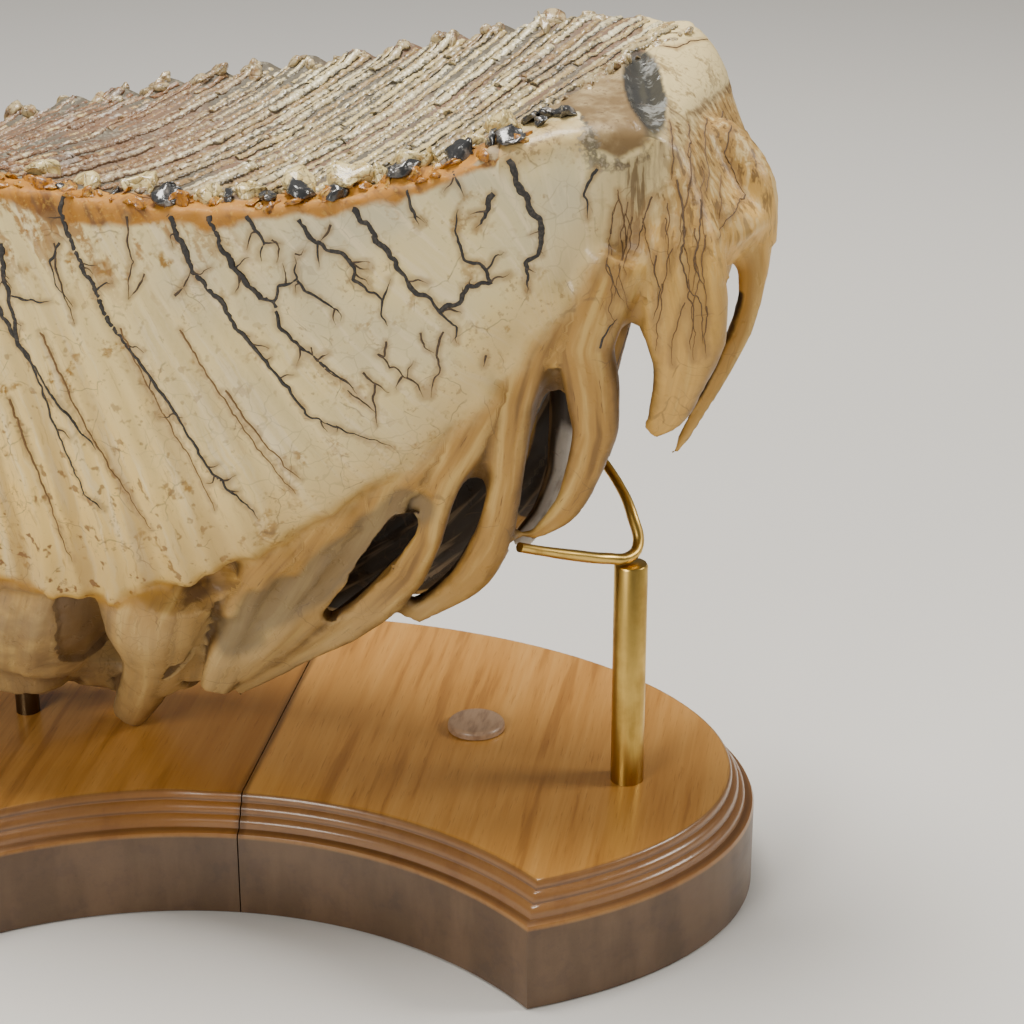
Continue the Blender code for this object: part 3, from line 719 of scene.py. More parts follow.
tooth = {
    "voxel": 1.26, "smoothPasses": 4, "plateStep": 11.6, "plateStart": 3.9, "plateTurn": 30.0,
    "middleY": -12.0, "facetX": 77.5, "browX": 62,
    # the enamel fades out between these distances along the tooth
    "frontFade": (88, 106),
    # crown sections: x, near and far edge y, top z near and far, underside z near and far
    "sections": (
        (-115.5, -27, 7, 136, 133, 104, 104), (-108, -36, 16, 151, 148, 94, 95),
        (-95, -43, 23, 165, 162, 87, 89), (-78, -47, 28, 177, 174.5, 84, 87),
        (-60, -49, 30, 183.5, 180.5, 82, 86), (-40, -51, 31, 184, 184, 81, 86),
        (-20, -53, 31, 182, 189, 85, 90), (0, -54, 31, 181.5, 192.5, 93, 97),
        (20, -54, 31, 183.5, 195.5, 105, 108), (40, -53, 30, 187.5, 200, 119, 121),
        (57, -50, 29, 192.5, 204.5, 134, 134), (72, -46, 28, 198, 208, 150, 148),
        (84, -42, 26, 198.5, 208.5, 160, 155), (94, -38, 23, 197, 207.5, 161, 154),
        (102, -34, 19, 189, 202, 158, 152), (107, -31, 14, 179, 188, 161, 157),
        (114, -26, 8, 174, 178, 168, 166)),
    "ends": ((-119.5, -11, 120), (118.6, -9, 171)),
    # roots: flatness across the tooth, then x, y, z and radius along each one
    "roots": {
        "frontBlade": (0.62, (
            (92.5, -31, 186, 9), (94, -34, 179, 10.5), (96, -36, 170, 12.5), (99, -38, 159, 12),
            (100.6, -39, 151, 10.2), (100.2, -39, 145, 8.0), (99, -38, 139.2, 6.4), (97.8, -37, 134.4, 5.9),
            (95.7, -36.6, 130.8, 4.8), (92.6, -36.2, 128.0, 2.4))),
        "frontRib": (0.9, (
            (101.5, -10, 190, 5), (106.5, -10, 183, 7), (110.5, -11, 176.5, 7.6), (112, -12, 167, 6.3),
            (113, -13, 158.5, 4.6), (112.4, -13, 152, 3.9), (111, -13.5, 146, 3.6), (108.6, -14, 140, 3.3),
            (105.4, -14.5, 133, 3), (101.8, -15, 126, 2.7), (98.6, -15.8, 119.6, 2.3),
            (96.4, -16, 115.4, 1.2))),
        "ribWeb": (0.9, (
            (110.0, -10.5, 152.5, 1.0), (109.3, -10.5, 147, 2.3), (108.2, -10.5, 141, 2.6),
            (106.0, -10.5, 135, 2.5), (103.6, -10.5, 129.6, 2.2), (101.6, -11, 125.4, 0.9))),
        "secondBand": (0.6, (
            (86, -42, 170, 8.5), (82, -43, 160, 8), (79.5, -42.5, 150, 7.6), (81, -41.5, 140, 7.2),
            (81.6, -40.5, 130, 6.2), (79.4, -39, 121, 5.3), (76.6, -37, 113.5, 4.9),
            (72.8, -35, 107.3, 4.5), (68.6, -34, 103, 3.2), (65.5, -33, 101, 2.2))),
        "thirdBand": (0.8, (
            (74, -42, 162, 7.5), (67.5, -43, 149, 6.5), (64.5, -42.5, 137, 5.4), (63, -41.5, 126, 5),
            (62.2, -40.5, 117.5, 4.6), (60.2, -39, 109, 5.1), (58, -37, 101, 5.9), (53.5, -34.5, 92.5, 6.4),
            (48.8, -32.5, 87, 5.6), (43.7, -31, 82, 4.4), (38.5, -29.5, 76.5, 2.8))),
        "fourthBand": (0.8, (
            (61, -43, 141, 7.5), (53.5, -43, 127, 6.6), (48.8, -42, 118, 5.5), (46, -41, 110, 5),
            (43.8, -39, 101.5, 5), (39.3, -36.5, 92, 5.8), (30.5, -33, 82, 6.4), (22.5, -30.5, 73.5, 5),
            (15, -28.5, 67, 3.5), (5, -27, 59.5, 2.9), (-6, -25, 51.5, 2.2))),
        "fifthBand": (0.6, (
            (45.5, -43, 126, 8), (37.5, -42.5, 116, 8.4), (33.5, -41, 106, 8), (28.4, -39, 96, 8),
            (21.5, -36, 86.5, 7.4), (14.5, -33.5, 78, 6.2), (6.5, -31, 69, 5.2), (-2, -28, 59.5, 4.2))),
        "sixthBand": (0.6, (
            (27.5, -43, 111, 8), (20, -42, 100.5, 8.4), (14.5, -40, 90.5, 8), (9, -37, 81, 7.2),
            (2.5, -34, 71.5, 6), (-4.2, -31, 62, 5), (-8.5, -29, 54.5, 3.4))),
        "seventhBand": (0.7, (
            (13.5, -43, 100.5, 7), (6, -41.5, 90.5, 6.6), (2, -39, 83, 5.9), (-1.5, -36.5, 74, 5.2),
            (-6.6, -33.5, 63.7, 4.4), (-10.5, -31, 55, 3))),
        "secondInner": (0.9, (
            (74, -26, 140, 5), (73, -25, 126, 4.4), (72, -25, 114, 4.2), (68, -25, 103, 3.8),
            (62, -25, 95, 3.2))),
        "upperWall": (0.5, (
            (76, -36, 153, 9), (64, -37, 137, 9), (55, -37, 125, 8.5), (46, -37, 117, 8), (36, -37, 109, 8),
            (24, -37, 100, 8), (10, -37, 92, 8), (-6, -37, 87, 8))),
        "hollowBack": (0.8, (
            (-4, -33, 96, 9.5), (-7, -30, 80, 9), (-12, -24, 66, 8), (-17, -17, 54, 6))),
        "foot": (0.75, (
            (-17, -42, 90, 14.5), (-21, -39, 80, 13.5), (-23.2, -33, 71, 11.2), (-25, -26, 62.5, 9.4),
            (-29, -18, 53, 8), (-34, -10, 42.5, 7), (-39, -3.5, 33.6, 6))),
        "heel": (0.9, (
            (-50, -18, 90, 26), (-56, -15, 74, 24), (-60, -12, 63, 20), (-63, -9, 54, 15.5),
            (-64, -8, 43.3, 12.5))),
        "heelToe": (1.0, (
            (-64, -4, 53, 11), (-50, 2, 49, 12), (-40, 6, 47.5, 10.5))),
        "footWall": (0.8, (
            (-8, -32, 86, 9), (-13, -24, 68, 9), (-20, -14, 54, 7.5), (-24, -10, 49, 6))),
        "innerWall": (0.5, (
            (72, -12, 132, 12), (64, -13, 117, 12), (55, -13, 105, 12), (46, -13, 95, 12),
            (36, -12, 86.5, 11.5), (25, -12, 79, 11), (13, -12, 71, 10))),
        "innerRoof": (0.7, (
            (70, -12, 146, 12), (54, -12, 126, 12), (38, -12, 112, 12), (20, -12, 98, 12), (4, -12, 88, 12))),
        "farFrontBlade": (0.7, (
            (98, 10, 178, 12), (100, 15, 163, 11), (99, 16, 149, 8), (97, 13, 135, 5.4), (95, 10, 124, 3.6))),
        "farSecond": (0.6, (
            (79, 18, 166, 9), (80, 17, 150, 7.4), (78, 14, 134, 6.4), (75, 10, 120, 5.4), (68, 7, 108, 4.4),
            (58, 5, 98, 3))),
        "farThird": (0.8, (
            (62, 19, 150, 9), (64, 19, 132, 7), (61, 15, 115, 5.8), (54, 10, 99, 4.8), (44, 6, 85, 3.4))),
        "farFourth": (0.8, (
            (44, 19, 134, 9), (46, 19, 116, 7), (42, 15, 100, 5.8), (33, 10, 85, 4.6), (22, 6, 72, 3.4))),
        "farFifth": (0.8, (
            (25, 19, 118, 10), (25, 19, 102, 7.6), (20, 14, 86, 6), (11, 9, 72, 4.8), (1, 5, 59, 3.4))),
        "farSixth": (0.8, (
            (3, 18, 104, 11), (1, 18, 88, 8.4), (-6, 12, 70, 6.4), (-14, 7, 55, 4.8))),
        "farHeel": (0.9, (
            (-26, 12, 98, 18), (-33, 12, 80, 16), (-40, 10, 64, 14), (-45, 8, 50, 13), (-46, 7.5, 36.5, 10))),
    },
    # open slits between the near roots, written the same way
    "slits": {
        "frontSlit": (2.4, (
            (73, -40, 138, 1.8), (72.6, -40, 135, 3.2), (72, -39.5, 128, 4.3), (70.6, -38, 119, 4.1),
            (69.4, -37, 113.5, 3.6), (67.4, -36, 108, 2.6), (65, -35, 102.5, 1.5))),
        "middleSlit": (3.4, (
            (54.7, -40, 115, 1.8), (53.8, -40, 112, 2.8), (52.3, -39, 106, 2.9), (50, -38, 99.5, 2.7),
            (46.5, -36, 92, 2.3), (42, -34, 86, 1.8), (38.5, -33, 82.5, 1.2))),
        "backSlit": (4.0, (
            (40, -40, 108.5, 1.5), (38.2, -39, 104, 2.4), (35, -38, 98.5, 2.8), (31.2, -37, 93, 2.5),
            (26.6, -35, 86.5, 2.2), (22, -34, 81, 1.8), (17.5, -33, 77, 1.1))),
    },
    # where the crown's enamel ends on the near side: x, z
    "crownLine": (
        (-119, 122), (-112, 108), (-95, 97), (-75, 91), (-53, 88), (-48, 86.5), (-38, 83.5), (-27, 84.5),
        (-8.5, 91), (7, 98), (30, 114), (43, 122), (62, 141), (71, 152), (81, 167), (88, 174), (95, 180),
        (103, 188), (112, 197)),
    # how far the plates lean forward, in degrees, by the x where they start on the rim
    "plateLean": ((-119, 0), (-60, 20), (-20, 33), (20, 38), (50, 35), (68, 12), (85, 0)),
    # lower edge of the rusty band under the near rim: x, z
    "stainEdge": (
        (-119, 158), (-95, 160), (-78, 172), (-60, 176.5), (-46, 179), (-38.5, 177), (-31.8, 174.8),
        (-22.8, 176), (-16, 175.6), (-8, 176.2), (0, 176), (10, 176.8), (21, 178.6), (33, 181), (46, 184.4),
        (60, 189.6), (70, 194)),
    # inner edge of the rusty margin on the grinding surface: x, y
    "rustTop": (
        (-119, -16), (-108, -28), (-95, -35), (-78, -38), (-60, -39), (-47, -42), (-41, -45), (-30, -47.5),
        (0, -49), (30, -48.5), (50, -44), (60, -38), (66, -34), (76, -34)),
    # the cream block on the near rim in front of the ridges starts here: x, y
    "browLine": ((62, -45), (63.5, -34), (70, -33), (76, -35), (79, -41), (82, -50)),
    "oval": {"centre": (88.3, -17.5), "along": (8.0, -44.0), "half": (21.0, 4.2)},
    # shaded wall between the crown edge and the back slit: x, z
    "wallLine": ((41, 110), (31, 101), (20, 91), (8, 82), (-2, 72)),
    # grey chips along the facet's lower edge
    "greyLine": ((79.5, -42.5, 195), (81.3, -44, 191), (86, -42.5, 189.5), (91, -39.0, 191),
                 (92.5, -33, 194)),
    # how shut-in each point is, from a fan of rays
    "rays": 10, "rayReach": 16.0, "rayStart": 0.4,
}
slant = math.tan(math.radians(tooth["plateTurn"]))

# what is raised on the smooth skin or sunk into it, in mm
toothRelief = {
    "ridgeBed": 1.15, "plateTop": 0.5, "bedRough": 0.35, "farRim": 1.15, "farWave": 1.0,
    "plateSide": 0.12, "plateLow": 0.68, "lowLumps": 0.55, "flutes": 0.42, "fineFlutes": 0.16,
    "enamelEdge": 0.45, "rootGroove": 1.5, "bark": 0.55, "fineBark": 0.3, "skin": 0.12, "wall": 1.7,
    "dish": 1.5, "dishRim": 0.55, "block": 0.5, "rust": 0.3, "rustLumps": 0.55, "rustGrit": 0.35,
}


def rimHeights(x):
    return follow(x, tooth["sections"], to=3), follow(x, tooth["sections"], to=4)


def rimEdges(x):
    return follow(x, tooth["sections"], to=1), follow(x, tooth["sections"], to=2)


def crownRing(x, near, far, topNear, topFar, baseNear, baseFar):
    # one section of the crown: over the top from the near edge, down the far side and back below
    wide = far - near
    points = (
        (near - 0.4, topNear - 5), (near + 0.8, topNear - 0.8), (near + 5, topNear),
        (near + 0.33 * wide, between(topNear, topFar, 0.33) - 1.8),
        (near + 0.66 * wide, between(topNear, topFar, 0.66) - 1.8),
        (far - 5, topFar), (far - 0.8, topFar - 0.8), (far + 0.4, topFar - 5),
        (far + 1.5, between(baseFar, topFar, 0.62)), (far + 1, between(baseFar, topFar, 0.3)),
        (far - 0.8, baseFar + 5), (far - 5.5, baseFar), (far - 0.25 * wide, between(baseNear, baseFar, 0.75)),
        (near + 0.5 * wide, between(baseNear, baseFar, 0.5) + 2),
        (near + 0.25 * wide, between(baseNear, baseFar, 0.25)), (near + 5.5, baseNear),
        (near + 0.8, baseNear + 5),
        (near - 1, between(baseNear, topNear, 0.3)), (near - 1.5, between(baseNear, topNear, 0.62)))
    return [(x * mm, y * mm, z * mm) for y, z in points]


def crownCage():
    rings = [crownRing(*section) for section in tooth["sections"]]
    count = len(rings[0])
    verts = [p for ring in rings for p in ring]
    faces = ringFaces(len(rings), count)
    for start, end in zip((0, (len(rings) - 1) * count), tooth["ends"]):
        verts.append(tuple(c * mm for c in end))
        faces += [(start + i, start + (i + 1) % count, len(verts) - 1) for i in range(count)]
    cage = meshObject("crownCage", verts, faces)
    faceOutwards(cage.data)
    rounded = cage.modifiers.new("rounded", "SUBSURF")
    rounded.levels = rounded.render_levels = 3
    return cage


def rootTube(name, flatness, points):
    # a tapered round root along its points, squashed across the tooth
    middle = points[0][1]
    knots = [(Vector((x, middle + (y - middle) / flatness, z)) * mm, radius) for x, y, z, radius in points]
    root = tubeCurve(name, knots, mm, 6, 10)
    root.scale = (1.0, flatness, 1.0)
    root.location = (0.0, middle * (1.0 - flatness) * mm, 0.0)
    return root


def toothSkin():
    # crown and roots as one closed skin, with the slits cut out of it
    grown = [crownCage()] + [rootTube(name, *root) for name, root in tooth["roots"].items()]
    gaps = [rootTube(name, *slit) for name, slit in tooth["slits"].items()]
    bpy.context.view_layer.update()
    whole, slits = joinGrown("whole", grown), joinGrown("slits", gaps)
    for step in ("skin", "evenSkin"):
        remesh = whole.modifiers.new(step, "REMESH")
        remesh.mode = "VOXEL"
        remesh.voxel_size = tooth["voxel"] * mm
        if step == "skin":
            cut = whole.modifiers.new("slits", "BOOLEAN")
            cut.operation = "DIFFERENCE"
            cut.object = slits
    soften = whole.modifiers.new("soften", "SMOOTH")
    soften.factor = 0.5
    soften.iterations = tooth["smoothPasses"]
    mesh = evaluatedMesh(whole)
    for piece in (whole, slits):
        bpy.data.objects.remove(piece, do_unlink=True)
    mesh.name = "toothBody"
    mesh.materials.clear()
    return mesh


def platePhase(points, onTop):
    # which plate a point belongs to, as a running number: whole numbers are plate middles
    x, y, z = (points / mm).T
    nearSide = y < tooth["middleY"]
    rim, edge = (np.where(nearSide, *pair) for pair in (rimHeights(x), rimEdges(x)))
    down = np.maximum(rim - z, 0)
    start = x.copy()
    for _ in range(4):      # a point's plate starts where the lean, read at that start, brings it
        start = x - down * np.tan(np.radians(follow(start, tooth["plateLean"])))
    across = np.where(onTop > 0.5, x - slant * (y - tooth["middleY"]),
                      start - slant * (edge - tooth["middleY"]))
    return (across - tooth["plateStart"]) / tooth["plateStep"]


def cavityOf(mesh, tree):
    # how shut-in each point is, from 0 in the open to 1 in a hole
    golden = math.pi * (3 - math.sqrt(5))
    fan = []
    for i in range(tooth["rays"]):
        height = 0.25 + 0.7 * (i + 0.5) / tooth["rays"]
        side = math.sqrt(1 - height * height)
        fan.append((side * math.cos(golden * i), side * math.sin(golden * i), height))
    shut = np.zeros(len(mesh.vertices))
    for number, (point, normal) in enumerate(zip(readVectors(mesh), readVectors(mesh, "normal"))):
        up = Vector(normal)
        if up.length < 0.5:
            continue
        across = up.orthogonal().normalized()
        other = up.cross(across)
        start = Vector(point) + up * tooth["rayStart"] * mm
        rays = (tree.ray_cast(start, across * a + other * b + up * c, tooth["rayReach"] * mm)[0]
                for a, b, c in fan)
        shut[number] = sum(hit is not None for hit in rays) / len(fan)
    return shut


def nearestOnLine(flat, line):
    # distance, signed side and length run, from points in a plane to a line in that plane
    best = np.full(len(flat), 1e9)
    side, run = np.zeros(len(flat)), np.zeros(len(flat))
    done = 0.0
    for start, end in zip(line[:-1], line[1:]):
        step = end - start
        length = max(np.hypot(*step), 1e-6)
        share = np.clip(((flat - start) @ step) / length ** 2, 0, 1)
        gap = flat - start - share[:, None] * step
        far = np.hypot(*gap.T)
        closer = far < best
        best[closer] = far[closer]
        turn = step[0] * (flat[:, 1] - start[1]) - step[1] * (flat[:, 0] - start[0])
        side[closer] = (turn / length)[closer]
        run[closer] = (done + share * length)[closer]
        done += length
    return best, side, run


def besideRoot(x, z, line):
    # the same in the side view, for a root or slit
    return nearestOnLine(np.stack([x, z], 1), np.array(line, float)[:, [0, 2]])


def rootStreaks(points):
    # each point's place beside and along the root it lies on, so streaks follow the roots
    x, y, z = (points / mm).T
    best = np.full(len(points), 1e9)
    beside, run, middle = np.zeros((3, len(points)))
    for number, (root, (_, line)) in enumerate(tooth["roots"].items()):
        if root == "ribWeb":    # it lies in the groove between two roots
            continue
        far, side, along = besideRoot(x, z, line)
        reach = far + np.abs(y - follow(z, line, 2, 1)) * 0.6
        closer = reach < best
        best[closer] = reach[closer]
        beside[closer] = (side + 40.0 * number)[closer]
        run[closer] = along[closer]
        middle[closer] = (far / follow(z, line, 2, 3))[closer]
    return beside, run, middle


def markCrown(points, normals):
    # where each point lies on the crown; lengths are in mm
    x, y, z = (points / mm).T
    m = SimpleNamespace(points=points, x=x, y=y, z=z)
    rimNear, rimFar = rimHeights(x)
    m.near, m.far = rimEdges(x)
    topZ = between(rimNear, rimFar, np.clip((y - m.near) / (m.far - m.near), 0, 1))
    m.across = x - slant * (y - tooth["middleY"])
    m.upper = smoothStep(0.35, 0.75, normals[:, 2]) * smoothStep(-9, -3, z - topZ)
    m.brow = follow(x, tooth["browLine"]) - y + 1.2 * lumps(points, 4 * mm, 15)
    m.top = m.upper * (1 - smoothStep(tooth["facetX"] - 1, tooth["facetX"] + 2, m.across))
    m.top = m.top * (1 - smoothStep(-0.8, 0.8, m.brow) * (x > tooth["browX"]))
    m.plate = platePhase(points, m.top)
    ragged = 1.2 * lumps(points, 6 * mm, 5) + 0.6 * lumps(points, 2.2 * mm, 6)
    m.level = z - follow(x, tooth["crownLine"]) - ragged
    # the enamel thins out round the front end instead of stopping at a line
    m.front = smoothStep(*tooth["frontFade"], x + 0.30 * (180 - z) + 4 * lumps(points, 7 * mm, 7))
    m.faded = m.front * smoothStep(196, 190, z)
    m.crown = smoothStep(-0.8, 0.8, m.level)
    m.crown = m.crown * (1 - m.faded)
    m.down = np.where(y < tooth["middleY"], rimNear, rimFar) - z
    stained = np.where(m.upper > 0.3, follow(x, tooth["rustTop"]) - y, z - follow(x, tooth["stainEdge"]))
    m.stain = np.where(y < tooth["middleY"], stained, np.where(m.upper > 0.3, -5, 4 - m.down))
    m.stain = m.stain + 1.3 * lumps(points, 5 * mm, 9)
    m.stain = np.where(x < 61, m.stain, m.stain - (x - 61) * 2.2)
    m.beside, m.run, m.middle = rootStreaks(points)
    return m


def markFront(m):
    # the front end: the worn facet, a dark dished oval, the cream block behind it and the grey chips
    x, y, z, oval = m.x, m.y, m.z, tooth["oval"]
    dirX, dirY = np.array(oval["along"]) / np.hypot(*oval["along"])
    offX, offY = x - oval["centre"][0], y - oval["centre"][1]
    lengthwise, sideways = offX * dirX + offY * dirY, offX * dirY - offY * dirX
    m.oval = 1 - np.hypot(lengthwise / oval["half"][0], sideways / oval["half"][1])
    m.oval = np.where(m.upper > 0.05, m.oval, -2)
    facet = np.where(m.upper > 0.2, np.minimum(m.across - tooth["facetX"], sideways), -3)
    chip = np.minimum(np.minimum(x - 80.5, 91.5 - x), z - 190.2 - 0.5 * np.abs(x - 86))
    facet = np.where((y < -30) & (m.upper <= 0.9), np.maximum(facet, chip), facet)
    m.facet = np.where(x > tooth["browX"], np.minimum(facet, -m.brow), facet)
    m.block = np.where(x > 80, np.minimum(-sideways - 2.0, np.minimum(y + 21, z - 194.5)), -6)
    route = np.array(tooth["greyLine"])
    spots = [between(a, b, share) for a, b in zip(route[:-1], route[1:]) for share in np.linspace(0, 1, 12)]
    grey = np.min([np.linalg.norm(m.points / mm - spot, axis=1) for spot in spots], axis=0)
    alongBrow = (m.upper > 0.2) & (x > tooth["browX"]) & (x < 82)
    m.grey = np.where(alongBrow, np.minimum(grey, np.abs(m.brow + 0.8)), grey)
    wall = nearestOnLine(np.stack([x, z], 1), np.array(tooth["wallLine"], float))[0]
    m.wall = smoothStep(9.0, 2.5, wall + 2.0 * lumps(m.points, 6 * mm, 8))
    m.wall = m.wall * smoothStep(-24, -30, y) * (1 - m.crown)


def skinRelief(m):
    # how far each point is moved along its normal, in mm
    x, y, points, r = m.x, m.y, m.points, toothRelief
    side, root, open_ = m.crown * (1 - m.upper), 1 - m.crown, 1 - m.upper
    wave, low = np.cos(2 * np.pi * m.plate), np.clip(m.down / 60, 0, 1)
    # grinding surface
    push = m.top * (r["plateTop"] * wave - r["ridgeBed"] + r["bedRough"] * lumps(points, 2.0 * mm, 11))
    farRim = smoothStep(m.far - 9, m.far - 2, y) * m.upper
    push += farRim * (1 - smoothStep(77, 80, m.across)) * (r["farRim"] + r["farWave"] * wave)
    # crown: the plates' swell, lumps low down, flutes
    push += side * wave * (r["plateSide"] + r["plateLow"] * low * (1 - smoothStep(0, 50, x)))
    push += side * r["lowLumps"] * lumps(points, 5.5 * mm, 12) * smoothStep(50, 88, m.down) * (
        1 - smoothStep(-25, 20, x))
    push += side * r["fineFlutes"] * np.cos(6 * np.pi * m.plate + 2 * lumps(points, 20 * mm, 3)) * (
        1 - smoothStep(10, 50, x))
    push += r["enamelEdge"] * (m.crown - 0.5) * open_
    push -= root * r["rootGroove"] * smoothStep(0.6, 1.25, m.middle) * (m.z < 165)
    push += side * r["flutes"] * np.cos(4 * np.pi * m.plate + 1.2) * low * (1 - smoothStep(-10, 40, x))
    # roots, and a little unevenness everywhere
    bark = np.stack([m.beside * mm, m.run * 0.12 * mm, 0 * m.run], 1)
    push += root * open_ * (r["bark"] * lumps(bark, 4.2 * mm, 21) + r["fineBark"] * lumps(bark, 1.9 * mm, 22))
    push += r["skin"] * lumps(points, 3.0 * mm, 31) * (1 - m.upper * 0.6)
    push -= r["wall"] * m.wall
    # dished oval, block and rusty band
    rim = r["dishRim"] * np.exp(-(m.oval / 0.22) ** 2) * (m.oval > -1)
    push -= r["dish"] * smoothStep(0.0, 0.45, m.oval) - rim
    push += r["block"] * smoothStep(0, 2.0, m.block) * m.upper
    band = smoothStep(-1.0, 2.5, m.stain) * (m.down < 9) * (y < tooth["middleY"]) * (x < 72)
    push += band * (r["rustLumps"] * lumps(points, 2.8 * mm, 41) + r["rustGrit"] * lumps(points, 1.5 * mm, 42)
                    + r["rust"])
    return push


def slitShades(x, y, z):
    # painted shade inside the slits and behind the front rib, and painted light on the root face seen in the
    # front slit
    shade = np.zeros(len(x))
    for _, slit in tooth["slits"].values():
        behind = y - follow(z, slit, 2, 1)
        inside = smoothStep(7.0, 4.0, besideRoot(x, z, slit)[0])
        shade = np.maximum(shade, inside * smoothStep(0.5, 4.0, behind) * (y < 0))
    behind = smoothStep(0.2, 2.4, follow(z, tooth["roots"]["frontRib"][1], 2, 0) - x)
    web = smoothStep(3.8, 1.8, besideRoot(x, z, tooth["roots"]["ribWeb"][1])[0])
    shade = np.maximum(shade, 0.55 * behind * web * smoothStep(-20, -17, y))
    inner = besideRoot(x - 1.2, z, tooth["roots"]["secondInner"][1])[0]
    pale = smoothStep(4.0, 1.5, inner) * smoothStep(-34, -31.5, y) * smoothStep(-22, -26, y)
    return shade, pale * smoothStep(134, 118, z)


def shapeTooth():
    mesh = toothSkin()
    points, normals = readVectors(mesh), readVectors(mesh, "normal")
    m = markCrown(points, normals)
    markFront(m)
    points = points + normals * (skinRelief(m) * mm)[:, None]
    top = highest - 1.5 * mm
    points[:, 2] = np.where(points[:, 2] > top, top + (points[:, 2] - top) * 0.25, points[:, 2])
    points[:, 0] = np.clip(points[:, 0], cadBox[0][0] + margin, cadBox[1][0] - margin)
    mesh.vertices.foreach_set("co", points.astype(np.float32).ravel())
    mesh.update()
    tree = BVHTree.FromPolygons([v.co.copy() for v in mesh.vertices],
                                [tuple(f.vertices) for f in mesh.polygons])
    shade, pale = slitShades(m.x, m.y, m.z)
    brow = np.where(m.x > tooth["browX"], m.brow, -5)
    values = {
        "shade": shade, "wall": m.wall, "pale": pale, "top": m.top, "plate": m.plate, "down": m.down,
        "level": np.clip(m.level, -9, 40) * (1 - m.front) - 9 * m.front * smoothStep(196, 190, m.z),
        "oval": np.clip(m.oval, -2, 1), "facet": np.clip(m.facet, -4, 12), "block": np.clip(m.block, -6, 9),
        "grey": np.clip(m.grey, 0, 9), "stain": np.clip(m.stain, -9, 9), "beside": m.beside, "run": m.run,
        "front": m.front, "brow": np.clip(brow, -5, 5), "middle": np.clip(m.middle, 0, 3),
        "cavity": cavityOf(mesh, tree)}
    for name, value in values.items():
        writeValue(mesh, name, value)
    mesh.shade_smooth()
    print("tooth body:", len(mesh.polygons) * 2, "triangles")
    return placed("toothBody", mesh), tree


# Ridges of the grinding surface

ridges = {
    "plates": (-10, 6), "step": 0.5, "sides": 8, "furthest": 76.0, "walk": 0.9, "fewest": 5,
    # for each kind: strands as their place inside a plate and half width in mm, seed, light, dark and brown,
    # how deep its beads are cut and how high it stands
    "kinds": {
        "enamelRidges": (((-0.34, 1.32), (0.09, 1.28)), 61,
                         (0.74, 0.66, 0.41), (0.45, 0.36, 0.18), (0.24, 0.132, 0.068), 0.42, 0.72),
        "cementRidges": (((-0.115, 0.86), (0.325, 1.0)), 62,
                         (0.64, 0.51, 0.23), (0.34, 0.225, 0.09), (0.20, 0.088, 0.038), 0.30, 0.55)},
    "wander": 0.6, "farEnd": 3.0, "lengths": (12.0, 48.0), "gloss": 0.7,
    "across": (-52.0, 31.0), "along": (-113, 92),
    "ashy": (0.50, 0.47, 0.42), "mottle": (0.075, 0.042, 0.026), "glint": (0.86, 0.81, 0.66),
    # tones for the low parts of each strand: dirt together with painted shade
    "dirtAndShade": ((0.045, 0.040, 0.028), (0.17, 0.075, 0.03)),
}


def strandLines(tree, offsets, seed):
    chance = np.random.default_rng(seed)
    lines = []
    for number in range(ridges["plates"][0], ridges["plates"][1] + 2):
        for offset, half in offsets:
            plate = number + offset + chance.uniform(-0.02, 0.02)
            across = tooth["plateStart"] + tooth["plateStep"] * plate
            if across > ridges["furthest"]:
                continue
            inset = chance.uniform(0, 2.0)
            line, left = [], 0.0
            for y in np.arange(*ridges["across"], ridges["walk"]):
                if left <= 0:   # the strand is broken into lengths that sit a little apart
                    if len(line) >= ridges["fewest"]:
                        lines.append(evened(line))
                    line = line[-1:] if chance.uniform() < 0.35 else []
                    left = chance.uniform(*ridges["lengths"])
                    tone, share = chance.uniform(0, 1), chance.uniform(0.82, 1.18)
                    slip, rise = chance.uniform(-0.28, 0.28), chance.uniform(-0.28, 0.22)
                left -= ridges["walk"]
                spot = np.array([[across * mm, y * mm, number * 0.01]])
                wander = ridges["wander"] * lumps(spot, 11 * mm, 51)[0]
                x = across + slant * (y - tooth["middleY"]) + wander + slip
                if y < follow(x, tooth["rustTop"]) + inset - 1 or y > rimEdges(x)[1] - ridges["farEnd"]:
                    continue
                if x < ridges["along"][0] or x > ridges["along"][1]:
                    continue
                hit, up = tree.ray_cast(Vector((x * mm, y * mm, 0.3)), Vector((0, 0, -1)))[:2]
                if hit is None or up.z < 0.3:
                    continue
                swell = share * (1 + 0.2 * lumps(spot * 1.7, 5 * mm, 52)[0])
                worn = smoothStep(20, -45, x) * smoothStep(-30, -8, y)
                size = half * swell * (0.72 + 0.28 * smoothStep(-118, -60, x)) * (1 - 0.22 * worn) * mm
                hit += up * (rise - 0.12 * worn) * mm
                hit.z = min(hit.z, highest - size)
                line.append((hit, up, size, tone))
            if len(line) >= ridges["fewest"]:
                lines.append(evened(line))
    return lines


def evened(line, span=5):
    # the same line with its upward directions averaged over its neighbours
    ups = np.array([tuple(knot[1]) for knot in line])
    padded = np.pad(ups, ((span // 2, span // 2), (0, 0)), mode="edge")
    smooth = sum(padded[i:i + len(ups)] for i in range(span))
    smooth /= np.linalg.norm(smooth, axis=1)[:, None]
    return [(place, up, size, tone) for (place, _, size, tone), up in zip(line, smooth)]


